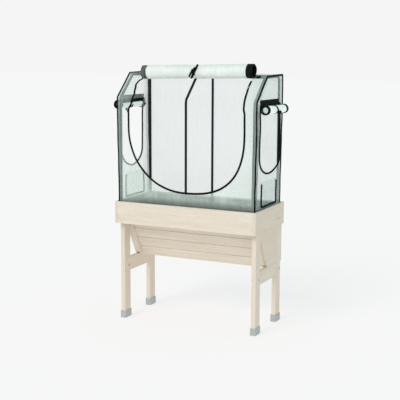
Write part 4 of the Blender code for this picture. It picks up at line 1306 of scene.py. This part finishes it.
# %% The vents' rolls
VENT_FLAP_LOW_Y = -0.162
VENT_FLAP_HIGH_Y = 0.168
VENT_FLAP_LENGTH = 0.446
VENT_TAIL = 0.0325
VENT_RADIUS = 0.0264
VENT_PITCH = 0.0023
VENT_HINGE_X = 0.4854
VENT_HINGE_Z = 1.458
RING_WIDTH = 0.024
RING_PROUD = 0.0012
RING_TURNS = 1.9
RING_CLOTH = 0.0082
RING_SUNK = 0.0032
VENT_CLOTH = 0.0010
HEAD_TAPE = 0.022
TIE_Y = -0.004
TIE_WIDTH = 0.021
TIE_CLOTH = 0.0018
TIE_WAIST = (0.0022, 0.022)
TIE_KNOT = (0.014, 0.038, 0.027)
TIE_BOW_WIDTH = 0.014
TIE_END_WIDTH = 0.019
TIE_END_CLOTH = 0.0012
VENT_WAVE = 0.0009
ROLL_TILT = 0.030
VENT_BOW = ((0.006, 0.41, 0.006), (0.022, 0.445, 0.012), (0.034, 0.41, 0.012),
            (0.020, 0.385, 0.010), (0.006, 0.40, 0.006))
VENT_TIE_ENDS = ((-0.010, 0.026), (0.016, 0.040))

vent_wind = Winding((VENT_HINGE_X, VENT_HINGE_Z), (0.0, -1.0), (1.0, 0.0), VENT_TAIL,
                    VENT_RADIUS, VENT_PITCH, VENT_FLAP_LENGTH)


def vent_reach(run):
    """The two edges of a vent's flap at a run, which close in at its round foot."""
    middle = (VENT_FLAP_LOW_Y + VENT_FLAP_HIGH_Y) / 2
    half = (VENT_FLAP_HIGH_Y - VENT_FLAP_LOW_Y) / 2
    share = max(0.0, (run - VENT_FLAP_LENGTH + VENT_ROUND) / VENT_ROUND)
    width = half * math.sqrt(1 - min(share, 0.985) ** 2)
    return middle - width, middle + width


def vent_place(side):
    """The function that places a point of one vent's roll."""
    def place(u, run, angle, lift):
        down = ROLL_TILT * (u + 0.05) * min(1.0, run / VENT_TAIL if angle is None else 1.0)
        if angle is None:
            spot = vent_wind.start + Vector((0.0, -run - down))
            return splayed(Vector((side * spot.x, u, spot.y))), Vector((side, 0.0, 0.0))
        waist = TIE_WAIST[0] * math.exp(-((u - TIE_Y) / TIE_WAIST[1]) ** 2) * (angle < math.tau)
        wave = VENT_WAVE * noise.noise(Vector((u * 16, math.cos(angle), math.sin(angle) + side)))
        spot, way = vent_wind.at(angle, lift + wave - waist)
        return (splayed(Vector((side * spot.x, u, spot.y - down))),
                Vector((side * way.x, 0.0, way.y)))
    return place


FILM_VENT = film("rolled up in the vents", 0.84, 0.08, tint="#e6efea", milk="#eef6f1", matt=0.2,
                 glow=0.20)
for side, name in SIDES:
    body, place = f"vent_roll_{name}", vent_place(side)
    roll = roll_up(f"vent_roll_{name}_film", vent_wind, vent_reach, place, FILM_VENT, None, 56)
    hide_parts(f"vent_roll_{name}")
    rings = []
    for end, edge_of in (("front", 0), ("rear", 1)):
        inset = (RING_WIDTH / 2 - RING_PROUD) * (1 - 2 * edge_of)
        spots = [place(vent_reach(run)[edge_of] + inset, run, angle, 0.0)
                 for run, angle in vent_wind.steps[1:]]
        outer = round(RING_TURNS * TURN_STEPS)
        for part, line, shape in (("", spots[:outer + 1],
                                   flat_tape(RING_WIDTH, RING_CLOTH, -RING_SUNK)),
                                  ("_inner", spots[outer:], flat_tape(RING_WIDTH, VENT_CLOTH))):
            rings.append(lay(f"vent_roll_{name}_binding_{end}{part}", line, shape, TAPE, None))
    spots = [place(y, HEAD_TAPE / 2, None, 0.0)
             for y in np.linspace(VENT_FLAP_LOW_Y, VENT_FLAP_HIGH_Y, 30)]
    rings.append(lay(f"vent_roll_{name}_head_tape", spots,
                     flat_tape(HEAD_TAPE, VENT_CLOTH, FILM / 2), BAND, None))
    turns = [math.tau * (0.04 + 0.93 * i / 40) for i in range(41)]
    spots = [place(TIE_Y + 0.004 * math.sin(angle), 0.0, angle,
                   FILM / 2 + vent_wind.pitch * angle / math.tau) for angle in turns]
    loop = lay(f"vent_tie_{name}_loop", spots, flat_tape(TIE_WIDTH, TIE_CLOTH, STRAP_LIFT), TAPE,
               body)
    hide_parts(f"vent_tie_{name}")
    for piece in [roll] + rings:
        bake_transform(piece)

    def at(y, turn, lift, place=place):
        return place(TIE_Y + y, 0.0, math.tau * turn, lift)[0]

    knot(f"vent_tie_{name}_knot", at(0.008, 0.41, 0.004), TIE_KNOT, TAPE, body)
    out = (side, 0.0, 0.0)
    strand(f"vent_tie_{name}_bow_1", [at(*stop) for stop in VENT_BOW], out, TIE_BOW_WIDTH,
           TIE_END_CLOTH, TAPE, body)
    for end, (sway, drop) in enumerate(VENT_TIE_ENDS, 1):
        first = at(0.006, 0.39, 0.006)
        strand(f"vent_tie_{name}_end_{end}",
               (first, first + Vector((side * 0.004, sway * 0.4, -drop * 0.4)),
                first + Vector((side * 0.002, sway, -drop))), out, TIE_END_WIDTH, TIE_END_CLOTH,
               TAPE, body)
print("vent roll turns:", round(len(vent_wind.angles) / TURN_STEPS, 2))

# %% [markdown]
# ## Access flaps
#
# Low in each side a small flap opens upwards for watering. It is the same film, a
# little greener because it is doubled, with black binding down both sides and along its
# foot. It follows the same slack as the film round it.

# %% Access flaps
FLAP_TAPE = 0.0130
FLAP_BEAD = 0.0075

for side, name in SIDES:
    body = f"access_flap_{name}"
    flap = cut_film(f"access_flap_{name}_film", flap_edge(), [],
                    lambda y, z, side=side: flank(side, y, z), FILM_FLAP, body)
    line = fine(flap_edge(), BAND_STEP)
    spots = [flank(side, spot.x, min(spot.y, FLAP_TOP - 0.001)) for spot in line[1:-1]]
    rim = lay(f"access_flap_{name}_binding", spots, rolled_tape(FLAP_TAPE, FLAP_BEAD, FILM / 2),
              TAPE, body)
    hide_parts(f"access_flap_{name}")

# %% [markdown]
# ## The trough's liner
#
# A liner of black polypropylene cloth keeps the soil in the trough and lets the water
# out. It lies on the boards, with soft folds where it was pushed into the corners, and
# its rear edge stands up behind the film. The same box as in the CAD is subdivided, and
# its points are moved inwards by noise.

# %% The liner
LINER_HALF = 0.4394
LINER_FRONT = -0.1750
LINER_SLOPE_FOOT = 0.0146
LINER_BACK = 0.2299
LINER_FLOOR = 0.4182
LINER_RIM = 0.742
LINER_FLAP_TOP = 0.790
LINER_CUTS = 26
LINER_FOLD = 0.007
LINER_CLOTH = 0.0012
LINER_MIDDLE = Vector((0.0, 0.08, 0.66))

work = bmesh.new()
spots = {(x, i): work.verts.new((x, *spot)) for x in (-LINER_HALF, LINER_HALF)
         for i, spot in enumerate(((LINER_FRONT, LINER_RIM), (LINER_SLOPE_FOOT, LINER_FLOOR),
                                   (LINER_BACK, LINER_FLOOR), (LINER_BACK, LINER_RIM),
                                   (LINER_BACK, LINER_FLAP_TOP)))}
a, b = -LINER_HALF, LINER_HALF
for i in range(4):
    work.faces.new((spots[a, i], spots[b, i], spots[b, i + 1], spots[a, i + 1]))
for x in (a, b):
    work.faces.new([spots[x, i] for i in range(4)])
bmesh.ops.recalc_face_normals(work, faces=work.faces)
bmesh.ops.subdivide_edges(work, edges=work.edges, cuts=LINER_CUTS, use_grid_fill=True)
cut = work.loops.layers.uv.new("cut")
for face in work.faces:
    flat = 0 if abs(face.normal.x) < 0.5 else 1
    for loop in face.loops:
        spot = loop.vert.co
        loop[cut].uv = (spot.x if flat == 0 else spot.y, spot.z - (spot.y if flat == 0 else 0))
for vert in work.verts:
    fade = smooth((LINER_FLAP_TOP + 0.004 - vert.co.z) / 0.10) * 0.85 + 0.15
    fold = noise.noise(Vector((vert.co.x * 11, vert.co.y * 11, vert.co.z * 4)))
    fold = LINER_FOLD * fade * (0.5 + 0.5 * fold)
    inward = LINER_MIDDLE - vert.co
    inward.x *= 0.4
    vert.co += inward.normalized() * fold
LINER_LOOK = tape("woven black polypropylene", "#1b211f", "#39423e", 2.6, 0.8, 0.0006)
liner = new_piece("liner_fabric", work, LINER_LOOK, "planter")
apply(liner, "SOLIDIFY", thickness=LINER_CLOTH, offset=0.0)
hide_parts("liner")

# %% [markdown]
# ## The sheets and their sizes
#
# The flat size of each side sheet and the area of film left in it are printed.

# %% The side sheets' sizes
flat_side = (COVER_BACK - COVER_FRONT, ROOF_Z - SKIRT_Z)
for side, name in SIDES:
    area_side = flat_area(SECTION) - flat_area(vent_edge(side)) - flat_area(flap_edge())
    print("side film", name, [round(v, 3) for v in flat_side], "of it", round(area_side, 3), "m2")


# %% [markdown]
# ## Screws
#
# The trough's front fascia is held to the end boards by two small countersunk screws at
# each corner. They are placed by the fascia's own box.

# %% Screws
SCREW_HEAD = 0.0034
SCREW_LENGTH = 0.0016
SCREW_PROUD = 0.0003
SCREW_SLOT = 0.0007
SCREW_CROSS_LIFT = 0.0009
SCREW_CROSS_DEPTH = 0.0012
CORNER_INSET = 0.009


def screw_heads(name, places, out, body):
    """Flat screw heads with a cross recess, all in one piece."""
    turn = Vector(out).to_track_quat("Z", "Y").to_matrix().to_4x4()
    made = []
    for spot in places:
        bpy.ops.object.select_all(action="DESELECT")
        bpy.ops.mesh.primitive_cylinder_add(vertices=20, radius=SCREW_HEAD,
                                            depth=SCREW_LENGTH)
        head = bpy.context.object
        for angle in (0.0, math.pi / 2):
            bpy.ops.mesh.primitive_cube_add(size=1.0, location=(0, 0, SCREW_CROSS_LIFT),
                                            rotation=(0, 0, angle))
            cross = bpy.context.object
            cross.scale = (SCREW_HEAD * 1.2, SCREW_SLOT, SCREW_CROSS_DEPTH)
            apply(head, "BOOLEAN", operation="DIFFERENCE", object=cross, solver="EXACT")
            bpy.data.objects.remove(cross, do_unlink=True)
        middle = Vector(spot) + Vector(out) * (SCREW_PROUD - SCREW_LENGTH / 2)
        head.matrix_world = Matrix.Translation(middle) @ turn
        made.append(head)
    bpy.ops.object.select_all(action="DESELECT")
    for head in made:
        head.select_set(True)
    bpy.context.view_layer.objects.active = made[0]
    bpy.ops.object.join()
    settle(bpy.context.object, name, ZINC_STEEL, body)


low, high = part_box("fascia_front")
spots = []
for side in (-1, 1):
    for share in (0.25, 0.75):
        spots.append((side * (high[0] - CORNER_INSET), low[1], low[2] + (high[2] - low[2]) * share))
screw_heads("fascia_screws", spots, (0.0, -1.0, 0.0), "planter")


# %% The size of what shows
size = {"cad": [list(corner) for corner in CAD_BOX],
        "visual": [list(corner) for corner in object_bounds()]}
